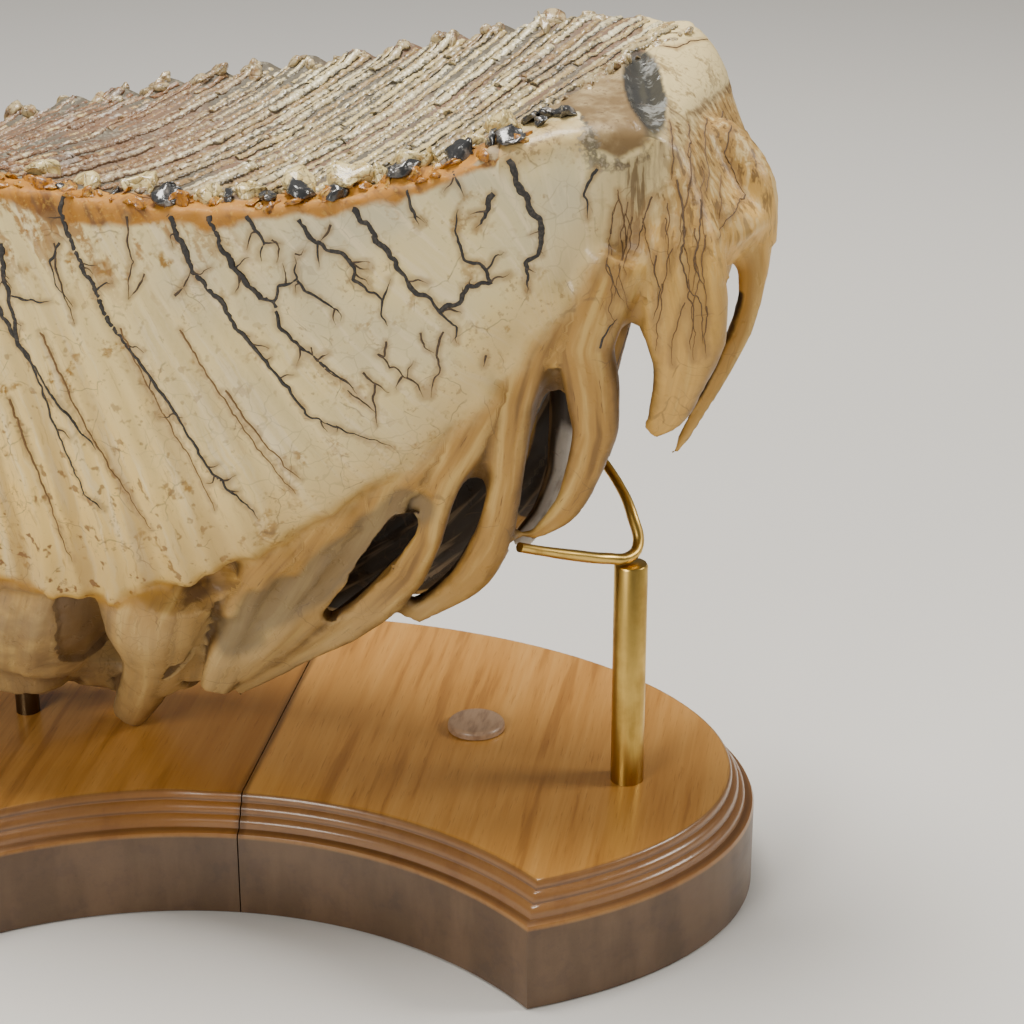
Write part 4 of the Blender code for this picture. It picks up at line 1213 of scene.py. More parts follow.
def ridgeFinish(name, light, dark, stain):
    f = Finish(name, Coat_Roughness=0.10)
    wide = f.noise(f.place, 34.0, 3.0)
    mid = f.noise(f.place, 260.0, 3.0, 0.6)
    fine = f.noise(f.place, 800.0, 3.0, 0.65)
    grit = f.noise(f.place, 2200.0, 2.0)
    brown = 1 - (f.axis(0) + (wide - 0.5) * 0.06).ramp(-46 * mm, 12 * mm)
    stained = (brown * 1.1 + wide.ramp(0.52, 0.64) * 0.6).clip() * mid.ramp(0.30, 0.52) * 0.92
    # darker low on each strand and in the gaps between strands: dirt together with painted shade
    sunkenDirtShade = 1 - (f.attribute("crest") + (fine - 0.5) * 3.2 + (mid - 0.5) * 2.2).ramp(0.15, 0.75)
    base = f.blend((light, dark), (f.attribute("tone") * 0.6 + mid * 0.9 - 0.2).ramp(0.3, 0.7))
    base = base.tint(stain, stained)
    base = base.coated(
        ridges,
        ashy=brown * f.noise(f.place, 150.0, 2.0).ramp(0.57, 0.66) * 0.75,
        mottle=brown * (mid * 0.6 + wide * 0.4).ramp(0.50, 0.60) * 0.7,
        glint=grit.ramp(0.60, 0.68) * 0.45)
    base = base.tint(f.blend(ridges["dirtAndShade"], brown), (sunkenDirtShade * 0.92 + fine.ramp(0.60, 0.68) * 0.6).clip())
    return f.join(Base_Color=base, Roughness=0.24 + fine * 0.35, Normal=f.bump(fine + mid, 0.8, 0.3 * mm),
                  Coat_Weight=ridges["gloss"] * (1 - fine.ramp(0.5, 0.7)) * (1 - brown * 0.8))


def growRidges(tree):
    strand = strandTree()
    grown = []
    for name, (offsets, seed, light, dark, stain, bite, rise) in ridges["kinds"].items():
        guide = guideLines(name + "Guide", strandLines(tree, offsets, seed))
        grown.append(strand.run(guide, name, Step=ridges["step"] * mm, Sides=ridges["sides"], Rise=rise,
                                Pitch=1.35 * mm, Bite=bite, Fray=0.9, Rough=0.7 * mm,
                                Material=ridgeFinish(name, light, dark, stain)))
    return grown


# Nodules at the plate ends and chips in the rim

nodules = {
    # x, y, z and radius of the cream lumps and the glassy chips on the near rim
    "cream": (
        (-52, -36, 184.0, 2.0), (-39, -42, 183.7, 2.2), (-27.1, -45, 182.8, 2.5),
        (-15.6, -44.8, 182.4, 3.1), (0.3, -46.8, 181.3, 3.3), (8.9, -46.5, 182, 3.1),
        (18.5, -46.0, 184, 2.6), (30.1, -46.9, 185.8, 4.4), (41.6, -43.2, 189.4, 3.6),
        (53.8, -37.5, 193.3, 3.6), (59.1, -31.3, 194.7, 3.2), (47.5, -42, 190.5, 2.4),
        (36.0, -45.5, 187, 2.4), (63.5, -38, 195, 2.6)),
    "dark": (
        (-50, -41, 183, 1.6), (-33, -46, 182, 1.8), (-21, -48, 182, 1.9), (-7.8, -50.5, 181.2, 3.4),
        (4.6, -50.2, 181.4, 1.9), (13.6, -50.4, 181.6, 2.0), (19.9, -49.8, 181.9, 3.5),
        (28.5, -51.5, 182.6, 2.8), (41.1, -47.5, 187.3, 3.5), (52.9, -43.5, 191.2, 4.0),
        (60, -42, 193, 2.8), (64, -44.0, 193.6, 3.0), (66.8, -36, 197, 2.2), (70.4, -35, 198, 1.9),
        (74, -35.5, 198, 2.0), (68.6, -39.5, 196, 1.5)),
    # crumbs from here, over this length; plate tips seen at this depth behind the middle, up to this x
    "crumbs": 110, "crumbStart": -112, "crumbLength": 180, "tipDepth": 38, "tipEnd": 84, "seed": 71,
    # each kind's seed, flatness, lift, roughness, chunkiness and grain
    "kinds": {
        "creamNodules": (5, 0.85, 0.12, 2.6, 6.5, 420.0), "farNodules": (8, 0.8, -0.1, 2.2, 4.5, 430.0),
        "glassyChips": (6, 0.5, 0.15, 2.8, 4.5, 480.0), "rustCrumbs": (7, 0.34, 0.0, 1.9, 2.5, 620.0)},
    "creamTones": ((0.72, 0.585, 0.27), (0.44, 0.30, 0.10)),
    "farTones": ((0.50, 0.40, 0.22), (0.27, 0.165, 0.075)),
    "glassTones": ((0.035, 0.036, 0.038), (0.24, 0.22, 0.20)),
    "rustTones": ((0.36, 0.140, 0.008), (0.50, 0.30, 0.06)),
    "veins": (0.10, 0.07, 0.045), "specks": (0.10, 0.08, 0.06), "rustDark": (0.085, 0.038, 0.02),
}


def placeLumps(name, knots, tree, material):
    seed, flat, lift, rough, chunk, grain = nodules["kinds"][name]
    line = []
    for x, y, z, radius in knots:
        hit, up = tree.find_nearest(Vector((x, y, z)) * mm)[:2]
        hit += up * lift * radius * mm
        hit.z = min(hit.z, highest - radius * mm)
        line.append((hit, up, radius * mm, 0.5))
    guide = guideLines(name + "Guide", [[knot] for knot in line])
    return lumpTree().run(guide, name, Rough=rough * mm, Chunk=chunk * mm, Flat=flat, Grain=grain, Seed=seed,
                          Detail=3, Material=material)


def lumpFinish(name, pair):
    f = Finish(name, Coat_Roughness=0.06)
    cloud = f.noise(f.place, 420.0, 4.0, 0.6)
    fine = f.noise(f.place, 1600.0, 3.0)
    edges = f.cellEdges(f.bent(f.place, 500.0, 0.0012), 330.0)
    base = f.blend(pair, cloud.ramp(0.46, 0.64)).coated(
        nodules,
        veins=(1 - edges.ramp(0.01, 0.07)) * fine.ramp(0.40, 0.55) * 0.75,
        specks=(cloud * 0.5 + fine * 0.5).ramp(0.6, 0.66) * 0.8)
    relief = cloud + fine * 0.5 + edges.ramp(0.0, 0.12) * 0.5
    return f.join(Base_Color=base, Roughness=0.20 + fine * 0.2, Coat_Weight=0.35 + cloud * 0.5,
                  Normal=f.bump(relief, 0.7, 0.4 * mm))


def glassFinish():
    f = Finish("glassyChip", Coat_Roughness=0.04)
    cloud = f.noise(f.place, 420.0, 4.0)
    return f.join(Base_Color=f.blend(nodules["glassTones"], cloud.ramp(0.52, 0.72)),
                  Roughness=0.10 + cloud * 0.2, Coat_Weight=0.6 + cloud * 0.4,
                  Normal=f.bump(cloud, 0.8, 0.5 * mm))


def rustFinish():
    f = Finish("rustMatrix", Coat_Roughness=0.12, Specular_IOR_Level=0.38)
    cloud = f.noise(f.place, 300.0, 4.0)
    fine = f.noise(f.place, 1500.0, 4.0)
    rust = f.blend(nodules["rustTones"], cloud.ramp(0.50, 0.68))
    rust = rust.tint(nodules["rustDark"], fine.ramp(0.50, 0.64) * 0.85)
    return f.join(Base_Color=rust, Roughness=0.28 + fine * 0.3, Coat_Weight=0.2 + cloud * 0.5,
                  Normal=f.bump(fine + cloud, 0.6, 0.3 * mm))


def rimCrumbs(chance):
    # rusty crumbs all along the near rim
    crumbs, count = [], nodules["crumbs"]
    for i in range(count):
        x = nodules["crumbStart"] + nodules["crumbLength"] * (i + chance.uniform(0, 1)) / count
        near = rimEdges(x)[0]
        y = near + chance.uniform(0.05, 1.0) * (follow(x, tooth["rustTop"]) - near)
        crumbs.append((x, y, rimHeights(x)[0] - 0.5, chance.uniform(0.8, 2.1)))
    return crumbs


def wornTips(chance):
    # plate ends on the far rim, then the rough edge where the ridges meet the worn facet
    tips = []
    for number in range(*ridges["plates"]):
        for share in (-0.16, 0.0, 0.16):
            x = tooth["plateStart"] + tooth["plateStep"] * (number + share) + slant * nodules["tipDepth"]
            x += chance.uniform(-1, 1)
            if x < nodules["tipEnd"]:
                y = rimEdges(x)[1] - chance.uniform(1, 7)
                tips.append((x, y, rimHeights(x)[1] - 1, chance.uniform(1.2, 2.5)))
    for y in np.arange(-27, 17, 2.2):
        x = ridges["furthest"] + 1.5 + slant * (y - tooth["middleY"]) + chance.uniform(-0.8, 0.8)
        near, far = rimEdges(x)
        share = (y - near) / (far - near)
        top = rimHeights(x)[0] * (1 - share) + rimHeights(x)[1] * share
        tips.append((x, y, top, chance.uniform(0.8, 1.7)))
    return tips


def growNodules(tree):
    chance = np.random.default_rng(nodules["seed"])
    crumbs, tips = rimCrumbs(chance), wornTips(chance)
    return [placeLumps(*kind[:2], tree, kind[2]) for kind in (
        ("creamNodules", nodules["cream"], lumpFinish("creamNodule", nodules["creamTones"])),
        ("farNodules", tips, lumpFinish("farNodule", nodules["farTones"])),
        ("glassyChips", nodules["dark"], glassFinish()),
        ("rustCrumbs", crumbs, rustFinish()))]


# Cracks

cracks = {
    "seed": 81, "step": 0.5, "jag": 0.62, "spurs": 0.075, "nearShare": 0.86, "frontShare": 0.64,
    "spurWidth": 0.48, "fineWidth": 0.55, "brownWidth": 0.6,
    "hairs": 22, "hairX": (84, 107), "hairZ": (160, 193), "hairWidth": (0.22, 0.36),
    "walkPlates": (-8, 7), "walkStep": 5.0, "walkLean": 0.42, "forks": 0.28,
    "tones": ((0.026, 0.024, 0.023), (0.07, 0.06, 0.05)), "brownTone": (0.20, 0.105, 0.035),
    # the back end: x, z, lean, width and length
    "back": ((-92, 158, 0.3, 1.2, 34), (-78, 168, 0.35, 1.4, 48), (-66, 172, 0.4, 0.9, 30),
             (-58, 176, 0.38, 1.5, 56)),
    # widths in mm at the wide end, then x, z along the near side
    "near": (
        (1.5, (-45.5, 169), (-45.5, 162), (-44.5, 156), (-43.5, 146.5), (-40, 140.5), (-37.5, 132.5),
         (-34.5, 123), (-30, 113), (-26.5, 109.5)),
        (0.7, (-44, 158), (-40.5, 157), (-35, 157.5)),
        (1.7, (-31, 181), (-31.5, 175), (-28, 166.5), (-25, 160.5), (-21.5, 152.5), (-14.5, 143.5),
         (-11, 139), (-5.5, 130), (0, 120.5), (5.5, 114.5), (9, 110)),
        (0.6, (-25, 160.5), (-20.5, 163)),
        (0.7, (-32, 170), (-34.5, 166), (-33.5, 161), (-30, 157)),
        (1.9, (-7.5, 178), (-4.5, 171), (-2.5, 165.5), (3.5, 159.5), (6, 155), (11.5, 148.5), (17, 142),
         (21, 135.5), (25.5, 134)),
        (0.5, (25.5, 134), (29, 132), (39, 128)),
        (1.6, (1, 178.5), (4, 171.5), (6.5, 167), (10, 163.5), (14.5, 160), (16, 155), (19, 151.5),
         (22, 149.5), (26, 146), (31.5, 141.5)),
        (0.9, (14.5, 160), (16, 164), (20, 165.5), (19.5, 171)),
        (0.8, (20, 165.5), (21.5, 163), (28.5, 159.5), (29, 156.5)),
        (0.6, (6.5, 167), (10, 170)),
        (1.1, (9.5, 179), (13, 173), (12.5, 169.5)),
        (0.6, (13, 173), (16.5, 173.5)),
        (1.4, (20, 179), (24.5, 173.5), (29, 172), (32.5, 168.5), (31.5, 166), (38, 162), (37.5, 159),
         (39, 156)),
        (0.7, (38, 162), (39.5, 166)),
        (0.6, (24.5, 173.5), (24.5, 168.5)),
        (1.6, (32, 181.5), (39.5, 171.5), (44, 165), (50, 160), (53, 156), (53, 152)),
        (1.3, (50, 160), (54, 161.5), (55.5, 165), (60, 165.5), (59.5, 168.5), (55, 171), (53, 177),
         (54, 181)),
        (0.7, (59.5, 168.5), (63, 172.5)),
        (1.0, (43, 185.5), (45.5, 178)),
        (0.8, (52.5, 188.5), (55, 184)),
        (1.4, (61, 184.5), (57.5, 177)),
        (2.0, (64, 191.5), (66, 186), (68, 181.5), (70.5, 179), (70.5, 176), (70, 171.5), (67.5, 170),
         (68, 163.5)),
        (0.9, (81.5, 189.5), (79, 185.5), (80, 178.5)),
        (0.6, (83, 151.5), (84.5, 155), (86.5, 158))),
    "fine": (
        ((22.5, 150.5), (23.5, 147.5), (27, 145), (29.5, 143.5), (32, 140.5)),
        ((38.5, 152.5), (38, 149.5), (36.5, 149.5), (41.5, 145), (42.5, 144.5), (44, 148.5)),
        ((41.5, 145), (40.5, 142), (40.5, 141.5)),
        ((50.5, 155), (49, 150.5), (49.5, 145.5), (48.5, 144.5), (47.5, 140)),
        ((45.5, 155), (46.5, 151.5), (48.5, 150.5)),
        ((42.5, 144.5), (45, 143), (46, 139.5)), ((59, 149), (58.5, 146.5)),
        ((33.5, 145.5), (36, 143), (39, 141)), ((36, 143), (35.5, 140), (36, 133.5)),
        ((30, 141), (34, 138), (36, 136)),
        ((-33.5, 170), (-33, 164.5), (-31.5, 158), (-29.5, 153)),
        ((-16.5, 177.5), (-17, 171), (-16, 167.5), (-17.5, 159)),
        ((-13.5, 165), (-15, 161.5), (-17.5, 159.5)),
        ((-6.5, 161), (-4.5, 163), (-3, 166.5)), ((14.5, 174), (16.5, 172), (15.5, 169)),
        ((27, 177.5), (24.5, 173.5))),
    # brown lines that run with the plates
    "brown": (
        ((-19.5, 152), (-15.5, 143), (-10.5, 132), (-4, 121), (-0.5, 111.5)),
        ((-6, 153), (-1, 144), (6.5, 132), (13.5, 122), (18, 116)),
        ((-38, 150.5), (-33.5, 139.5), (-28.5, 128.5), (-22.5, 117), (-16, 105.5)),
        ((3.5, 140.5), (11, 129), (19, 120)), ((-46.5, 133.5), (-43, 122), (-38.5, 108), (-35.5, 95.5))),
    # front end: width, then x, y, z
    "front": (
        (0.9, (95, -29, 195), (95.5, -35, 193), (96.5, -36, 189.5), (96.5, -38, 186)),
        (0.8, (98.5, -22, 193.5), (99.5, -31, 190.5), (100.5, -36, 186.5), (100, -38, 183.5)),
        (0.7, (101.5, -12, 192.5), (102, -23, 188.5), (103.5, -28, 185), (103.5, -34, 182.5)),
        (0.6, (92.5, -40, 183), (91.5, -41, 179), (90.5, -42, 174), (89.5, -43, 170.5)),
        (0.8, (97.5, -38, 185.5), (98.5, -39, 182), (100, -42, 176), (99.5, -43, 170), (101.5, -43, 164),
         (104, -43, 160), (104.5, -44, 152)),
        (0.7, (101.5, -36, 181), (102.5, -40, 174), (102, -42, 168.5), (104.5, -42, 163.5)),
        (0.6, (94, -44, 171), (94, -44, 167), (95.5, -44, 163.5), (94, -44, 157)),
        (0.6, (85, -44, 174.5), (85, -44, 177), (86, -44, 181)),
        (0.8, (104, 0, 191.5), (106, -16, 186.5), (108, -17, 181.5), (110.5, -18, 177.5)),
        (0.6, (110.5, -18, 177.5), (109, -26, 176.5), (107, -31, 174.5), (106.5, -39, 173.5)),
        (0.6, (84, -46, 170), (85.5, -46, 166.5), (86.5, -46, 163), (88, -46, 161)),
        (1.1, (-60, -21, 183), (-52, -28, 184), (-46, -37, 184), (-40, -44.5, 183.7), (-30, -46.8, 183),
         (-20, -48.8, 182), (-9, -50.5, 181.5)),
        (0.7, (88.1, 11.1, 205.3), (92.6, 14.6, 205.8), (95.2, 15.4, 205.1)),
        (0.7, (89, 5.3, 203.5), (92.6, 6, 202.8), (95.7, 11.2, 203.6), (98.4, 16.2, 202.8))),
}


def crackLine(route, width, tree, seed, ahead=None, tone=0.0):
    # follows a route over the tooth, jagged, wide at its start and thin at its end
    route = np.array(route, float) * mm
    steps = np.linalg.norm(np.diff(route, axis=0), axis=1)
    spots = np.concatenate([[0], np.cumsum(steps)])
    count = max(4, int(spots[-1] / (cracks["step"] * mm)))
    run = np.linspace(0, spots[-1], count)
    path = np.stack([np.interp(run, spots, route[:, i]) for i in range(route.shape[1])], 1)
    pins = np.stack([run, 0 * run + seed * 0.13, 0 * run], 1)
    jag = lumps(pins, 1.9 * mm, 82) + 0.6 * lumps(pins, 0.9 * mm, 83)
    jag = cracks["jag"] * jag * min(1.0, 0.5 + width / 3)
    other = cracks["jag"] * lumps(pins, 1.6 * mm, 84)
    shares = np.linspace(0, 1, count)
    sizes = 0.5 * width * (1 - 0.75 * shares ** 1.6) * (1 + 0.3 * lumps(pins, 1.5 * mm, 85))
    sizes *= np.clip((1 - shares) * count / 4, 0.25, 1)
    line = []
    for spot, sway, shift, size in zip(path, jag * mm, other * mm, sizes * mm):
        if ahead is None:
            hit, up = tree.find_nearest(Vector(spot) + Vector((sway, 0, shift)))[:2]
        else:
            start = Vector((spot[0] + sway, -0.2 * ahead, spot[1] + shift))
            hit, up = tree.ray_cast(start, Vector((0, ahead, 0)))[:2]
        if hit is not None:
            line.append((hit, up, size, tone))
    return evened(line) if len(line) > 3 else None


def wanderingCracks(tree):
    # the side away from the view and the back end: seeded walks that run down with the plates and fork
    chance = np.random.default_rng(cracks["seed"])
    lines = []

    def walk(x, z, lean, width, length, depth):
        route = [(x, z)]
        for _ in range(int(length / cracks["walkStep"])):
            lean += chance.uniform(-0.3, 0.3) + 0.25 * (cracks["walkLean"] - lean)
            x += cracks["walkStep"] * math.sin(lean)
            z -= cracks["walkStep"] * math.cos(lean)
            route.append((x, z))
            if depth < 2 and chance.uniform() < cracks["forks"]:
                walk(x, z, lean + chance.choice([-1, 1]) * chance.uniform(0.6, 1.2), width * 0.55,
                     length * 0.35, depth + 1)
        if len(route) > 2:
            line = crackLine(route, width, tree, len(lines) + 7, ahead=-1)
            if line:
                lines.append(line)

    for number in range(*cracks["walkPlates"]):
        x = tooth["plateStart"] + tooth["plateStep"] * number + 10 + chance.uniform(-3, 3)
        top = float(rimHeights(x)[1]) - chance.uniform(3, 7)
        walk(x, top, 0.45 + chance.uniform(-0.2, 0.2), chance.uniform(0.9, 1.7), chance.uniform(22, 60), 0)
    for x, z, lean, width, length in cracks["back"]:
        route = [(x + length * s * math.sin(lean + 0.2 * s), z - length * s * math.cos(lean))
                 for s in np.linspace(0, 1, 8)]
        lines.append(crackLine(route, width, tree, 50 + int(width * 10), ahead=1))
    return lines


def crackFinish():
    f = Finish("darkCrack")
    grain = f.noise(f.place, 1400.0, 3.0)
    base = f.blend(cracks["tones"], grain.ramp(0.45, 0.7)).tint(cracks["brownTone"], f.attribute("tone"))
    return f.join(Base_Color=base, Roughness=0.6 + grain * 0.25, Normal=f.bump(grain, 0.5, 0.1 * mm))


def spurs(route, width, chance):
    # short thin side cracks along a wider one
    short = []
    for (x1, z1), (x2, z2) in zip(route[:-1], route[1:]):
        length = math.hypot(x2 - x1, z2 - z1)
        for _ in range(chance.poisson(cracks["spurs"] * length * width)):
            share, reach = chance.uniform(0, 1), chance.uniform(1.0, 5.0)
            turn = math.atan2(z2 - z1, x2 - x1) + chance.choice([-1, 1]) * chance.uniform(0.6, 1.4)
            path = [(between(x1, x2, share), between(z1, z2, share))]
            for bend in (turn, turn + chance.uniform(-0.7, 0.7)):
                x, z = path[-1]
                path.append((x + reach * 0.5 * math.cos(bend), z + reach * 0.5 * math.sin(bend)))
            short.append(path)
    return short


def hairCrack(chance):
    # a thin brown line down the front roots
    x, z = chance.uniform(*cracks["hairX"]), chance.uniform(*cracks["hairZ"])
    route = [(x, z)]
    for _ in range(int(chance.integers(3, 8))):
        x, z = x + chance.uniform(-0.9, 1.1), z - chance.uniform(1.5, 4.0)
        route.append((x, z))
    return route


def growCracks(tree):
    chance = np.random.default_rng(cracks["seed"] + 1)
    lines = []
    for seed, (width, *route) in enumerate(cracks["near"]):
        lines.append(crackLine(route, width * cracks["nearShare"], tree, seed, ahead=1))
        for number, spur in enumerate(spurs(route, width, chance)):
            lines.append(crackLine(spur, cracks["spurWidth"], tree, 400 + seed * 20 + number, ahead=1,
                                   tone=0.2))
    for number in range(cracks["hairs"]):
        route = hairCrack(chance)
        width = chance.uniform(*cracks["hairWidth"])
        lines.append(crackLine(route, width, tree, 900 + number, ahead=1, tone=0.6))
    for kind, first, tone in (("fine", 100, 0.25), ("brown", 200, 0.85)):
        lines += [crackLine(route, cracks[kind + "Width"], tree, first + seed, ahead=1, tone=tone)
                  for seed, route in enumerate(cracks[kind])]
    lines += [crackLine(route, width * cracks["frontShare"], tree, 300 + seed, tone=0.4)
              for seed, (width, *route) in enumerate(cracks["front"])]
    lines = [line for line in lines + wanderingCracks(tree) if line]
    return strandTree().run(guideLines("crackGuide", lines), "cracks", Step=0.5 * mm, Sides=6, Rise=0.0,
                            Depth=0.13 * mm, Lift=0.0, Pitch=1.1 * mm, Bite=0.15, Fray=0.7,
                            Material=crackFinish()), lines


# each blend runs from its first colour to its second
# some of these tones are painted light: shade on the heel, the sunken wall, the root grooves, shut-in places
# and inside the slits, and light on the root face seen in the front slit
toothTones = {
    "cream": ((0.83, 0.69, 0.345), (0.59, 0.54, 0.365)), "warm": (0.90, 0.61, 0.17),
    "pale": (0.90, 0.76, 0.48), "lowEdge": (0.54, 0.36, 0.12), "blotches": (0.33, 0.165, 0.022),
    "streaks": (0.32, 0.16, 0.035), "specks": (0.27, 0.15, 0.055), "bands": (0.34, 0.195, 0.045),
    "drips": (0.34, 0.155, 0.026), "pits": (0.22, 0.10, 0.02),
    "rust": ((0.43, 0.170, 0.006), (0.17, 0.060, 0.008)), "rustLight": (0.58, 0.33, 0.055),
    "honey": ((0.40, 0.215, 0.045), (0.60, 0.395, 0.12)), "bark": (0.17, 0.085, 0.02),
    "groove": (0.10, 0.052, 0.015), "hairs": (0.10, 0.05, 0.02), "lowRoots": (0.46, 0.34, 0.165),
    "heel": (0.20, 0.13, 0.07), "wall": (0.155, 0.115, 0.060), "golden": (0.70, 0.42, 0.105),
    "rustLine": (0.38, 0.180, 0.014),
    "crust": ((0.10, 0.085, 0.06), (0.20, 0.105, 0.055)), "crustLight": (0.34, 0.31, 0.24),
    "amber": ((0.20, 0.130, 0.058), (0.42, 0.315, 0.165)), "amberDark": (0.12, 0.07, 0.03),
    "ivory": ((0.72, 0.58, 0.29), (0.30, 0.21, 0.09)), "ivoryEdge": (0.13, 0.075, 0.03),
    "brow": (0.52, 0.375, 0.155), "browDark": (0.16, 0.10, 0.05),
    "ash": ((0.075, 0.068, 0.055), (0.34, 0.29, 0.21)), "slate": ((0.030, 0.033, 0.034), (0.27, 0.28, 0.27)),
    "fore": (0.15, 0.10, 0.05), "foreLight": (0.72, 0.57, 0.28), "foreDark": (0.10, 0.055, 0.022),
    "cavity": (0.10, 0.055, 0.03), "inner": ((0.020, 0.016, 0.013), (0.24, 0.17, 0.10)),
    "litRootFace": ((0.56, 0.53, 0.48), (0.17, 0.125, 0.085)), "halo": (0.30, 0.17, 0.06),
    "crackle": (0.13, 0.08, 0.04),
}


def toothFinish():
    f = Finish("fossilTooth", Coat_Roughness=0.10, Specular_IOR_Level=0.38)
    tones = toothTones
    level, top, plate, down, oval, facet, block, stain = (f.attribute(name) for name in (
        "level", "top", "plate", "down", "oval", "facet", "block", "stain"))
    wide = f.noise(f.place, 26.0, 2.0)
    mid = f.noise(f.place, 110.0, 4.0, 0.6)
    fine = f.noise(f.place, 900.0, 3.0)
    pits = f.noise(f.place, 330.0, 2.0, 0.6).ramp(0.60, 0.68)
    upright = f.noise(f.moved(scale=(1, 1, 0.10)), 520.0, 3.0, 0.6)
    warped = f.bent(f.place, 90.0, 0.007)
    withPlates = f.point(plate + (mid - 0.5) * 0.22, down * 0.006, wide * 0.3)
    grain = f.noise(withPlates, 5.0, 3.0, 0.6)
    onRoot = f.point(f.attribute("beside"), f.attribute("run") * 0.09, 0.5)
    fibre = f.noise(onRoot, 0.30, 3.0, 0.55)
    along, height = f.axis(0), f.axis(2)
    # polished crown: cream, cooler above and to the right, warm and brown-streaked below
    low = (down / 95.0).clip()
    west = 1 - along.ramp(-40 * mm, 45 * mm)
    bands = (plate * 6.2832).math("COSINE") + (mid - 0.5) * 1.2
    runs = f.point(plate + (mid - 0.5) * 0.35, down * 0.022, 0.7)
    drips = f.noise(runs, 3.4, 2.0, 0.6).ramp(0.51, 0.61) * (1 - down.ramp(9.0, 30.0))
    rusty = (stain + mid * 4.0 - 2.0).ramp(-0.9, 0.9)
    cream = f.blend(tones["cream"], wide.ramp(0.42, 0.62) * (1 - low)).coated(
        tones,
        warm=(low * (0.35 + 0.75 * west) + mid.ramp(0.5, 0.75) * 0.2).clip(),
        pale=grain.ramp(0.5, 0.7) * 0.6,
        lowEdge=(1 - (level + (wide - 0.5) * 30.0).ramp(0.0, 30.0)) * 0.65,
        blotches=f.noise(warped, 120.0, 3.0, 0.7).ramp(0.57, 0.70) * (mid + fine).ramp(0.88, 1.1) * (
            0.6 + 0.5 * west),
        streaks=(f.noise(withPlates, 22.0, 2.0, 0.6).ramp(0.58, 0.72)
                 * (0.12 + 0.45 * west) * (0.3 + low) * 0.65),
        specks=(mid * 0.5 + fine * 0.5).ramp(0.585, 0.66) * 0.55,
        bands=bands.ramp(-0.35, -0.95) * low * west * 0.6,
        drips=drips * (1 - along.ramp(-14 * mm, 22 * mm)) * (mid + fine).ramp(0.80, 1.05) * 0.85,
        pits=pits * (0.2 + low * west * 1.2) * 0.75)
    # stained rim under the grinding surface
    rust = f.blend(tones["rust"], (mid * 0.6 + grain * 0.4).ramp(0.48, 0.62))
    rust = rust.tint(tones["rustLight"], fine.ramp(0.55, 0.68) * 0.5)
    cream = cream.tint(rust, rusty * 0.95)
    # roots: honey and tan, with painted shade towards their edges and in the grooves between them, so they
    # are paler along their middles
    groove = (f.attribute("middle") + (mid - 0.5) * 0.8).ramp(0.32, 1.0)
    groove = groove * (1 - height.ramp(140 * mm, 172 * mm))
    honey = f.blend(tones["honey"], fibre.ramp(0.50, 0.68) * 0.85).coated(
        tones,
        bark=fibre.ramp(0.50, 0.32) * 0.8,
        groove=groove * 0.85,
        hairs=f.noise(onRoot, 1.5, 3.0, 0.6).ramp(0.655, 0.72) * 0.7,
        lowRoots=(1 - height.ramp(70 * mm, 96 * mm)) * (1 - groove) * 0.45,
        # painted shade on the heel root, which lies in the crown's shadow
        heel=(1 - along.ramp(-52 * mm, -30 * mm)) * mid.ramp(0.3, 0.6) * 0.6,
        # painted shade on the sunken wall beside the back slit
        wall=(f.attribute("wall") + (mid - 0.5) * 0.5).ramp(0.15, 0.8) * 0.72,
        golden=along.ramp(84 * mm, 96 * mm) * (1 - groove) * (0.35 + fibre.ramp(0.62, 0.40) * 0.5))
    # the enamel ends in a rusty line at the back and fades into the roots at the front
    soft = along.ramp(-30 * mm, 30 * mm)
    ragged = level + (mid - 0.5) * (3.0 + 6.0 * soft) + (fine - 0.5) * 1.5
    crown = (ragged / (1.0 + 4.5 * soft)).ramp(-0.8, 0.8)
    line = (1 - (ragged.math("ABSOLUTE") * 0.32).clip()) * (0.85 - 0.65 * soft) * (1 - f.attribute("front"))
    skin = honey.tint(cream, crown).tint(tones["rustLine"], line)
    # grinding surface between the ridges
    crust = f.blend(tones["crust"], wide.ramp(0.45, 0.6) * 0.7)
    crust = crust.tint(tones["crustLight"], (fine * 0.6 + mid * 0.4).ramp(0.50, 0.62) * 0.5)
    skin = skin.tint(crust, top * (1 - (stain + (mid - 0.5) * 4.0).ramp(-0.5, 1.0)))
    # front end: worn facet, cream block, tan brow, grey chips, dark oval and the streaks below them
    amber = f.blend(tones["amber"], (mid * 0.6 + wide * 0.4).ramp(0.43, 0.58))
    amber = amber.tint(tones["amberDark"], (fine * 0.5 + mid * 0.5).ramp(0.54, 0.62) * 0.7)
    skin = skin.tint(amber, (facet + (mid - 0.5) * 3.0).ramp(-0.5, 1.2))
    ivory = f.blend(tones["ivory"], (mid * 0.6 + fine * 0.4).ramp(0.50, 0.62) * 0.85)
    edge = block + (mid - 0.5) * 5.0 + (fine - 0.5) * 2.0
    brow = f.attribute("brow").ramp(-0.3, 1.0) * (1 - down.ramp(3.0, 9.0))
    skin = skin.tint(ivory, edge.ramp(-0.6, 0.8)).coated(
        tones,
        ivoryEdge=(1 - (edge + 0.6).math("ABSOLUTE")).clip() * 0.75,
        brow=brow * (0.45 + mid.ramp(0.4, 0.6) * 0.5),
        browDark=brow * (mid * 0.4 + fine * 0.6).ramp(0.55, 0.64) * 0.6)
    ash = f.blend(tones["ash"], (mid * 0.5 + fine * 0.5).ramp(0.50, 0.60))
    grey = 1.7 - f.attribute("grey") + (mid - 0.5) * 9.0 + (fine - 0.5) * 5.0
    skin = skin.tint(ash, grey.ramp(-0.6, 1.0) * 0.85)
    slate = f.blend(tones["slate"], (mid * 0.7 + fine * 0.3).ramp(0.53, 0.64))
    fore = along.ramp(80 * mm, 90 * mm) * height.ramp(158 * mm, 182 * mm) * (1 - block.ramp(-1.0, 1.0))
    fore = fore * (1 - oval.ramp(-0.3, 0.0)) * (1 - facet.ramp(-1.5, 0.5))
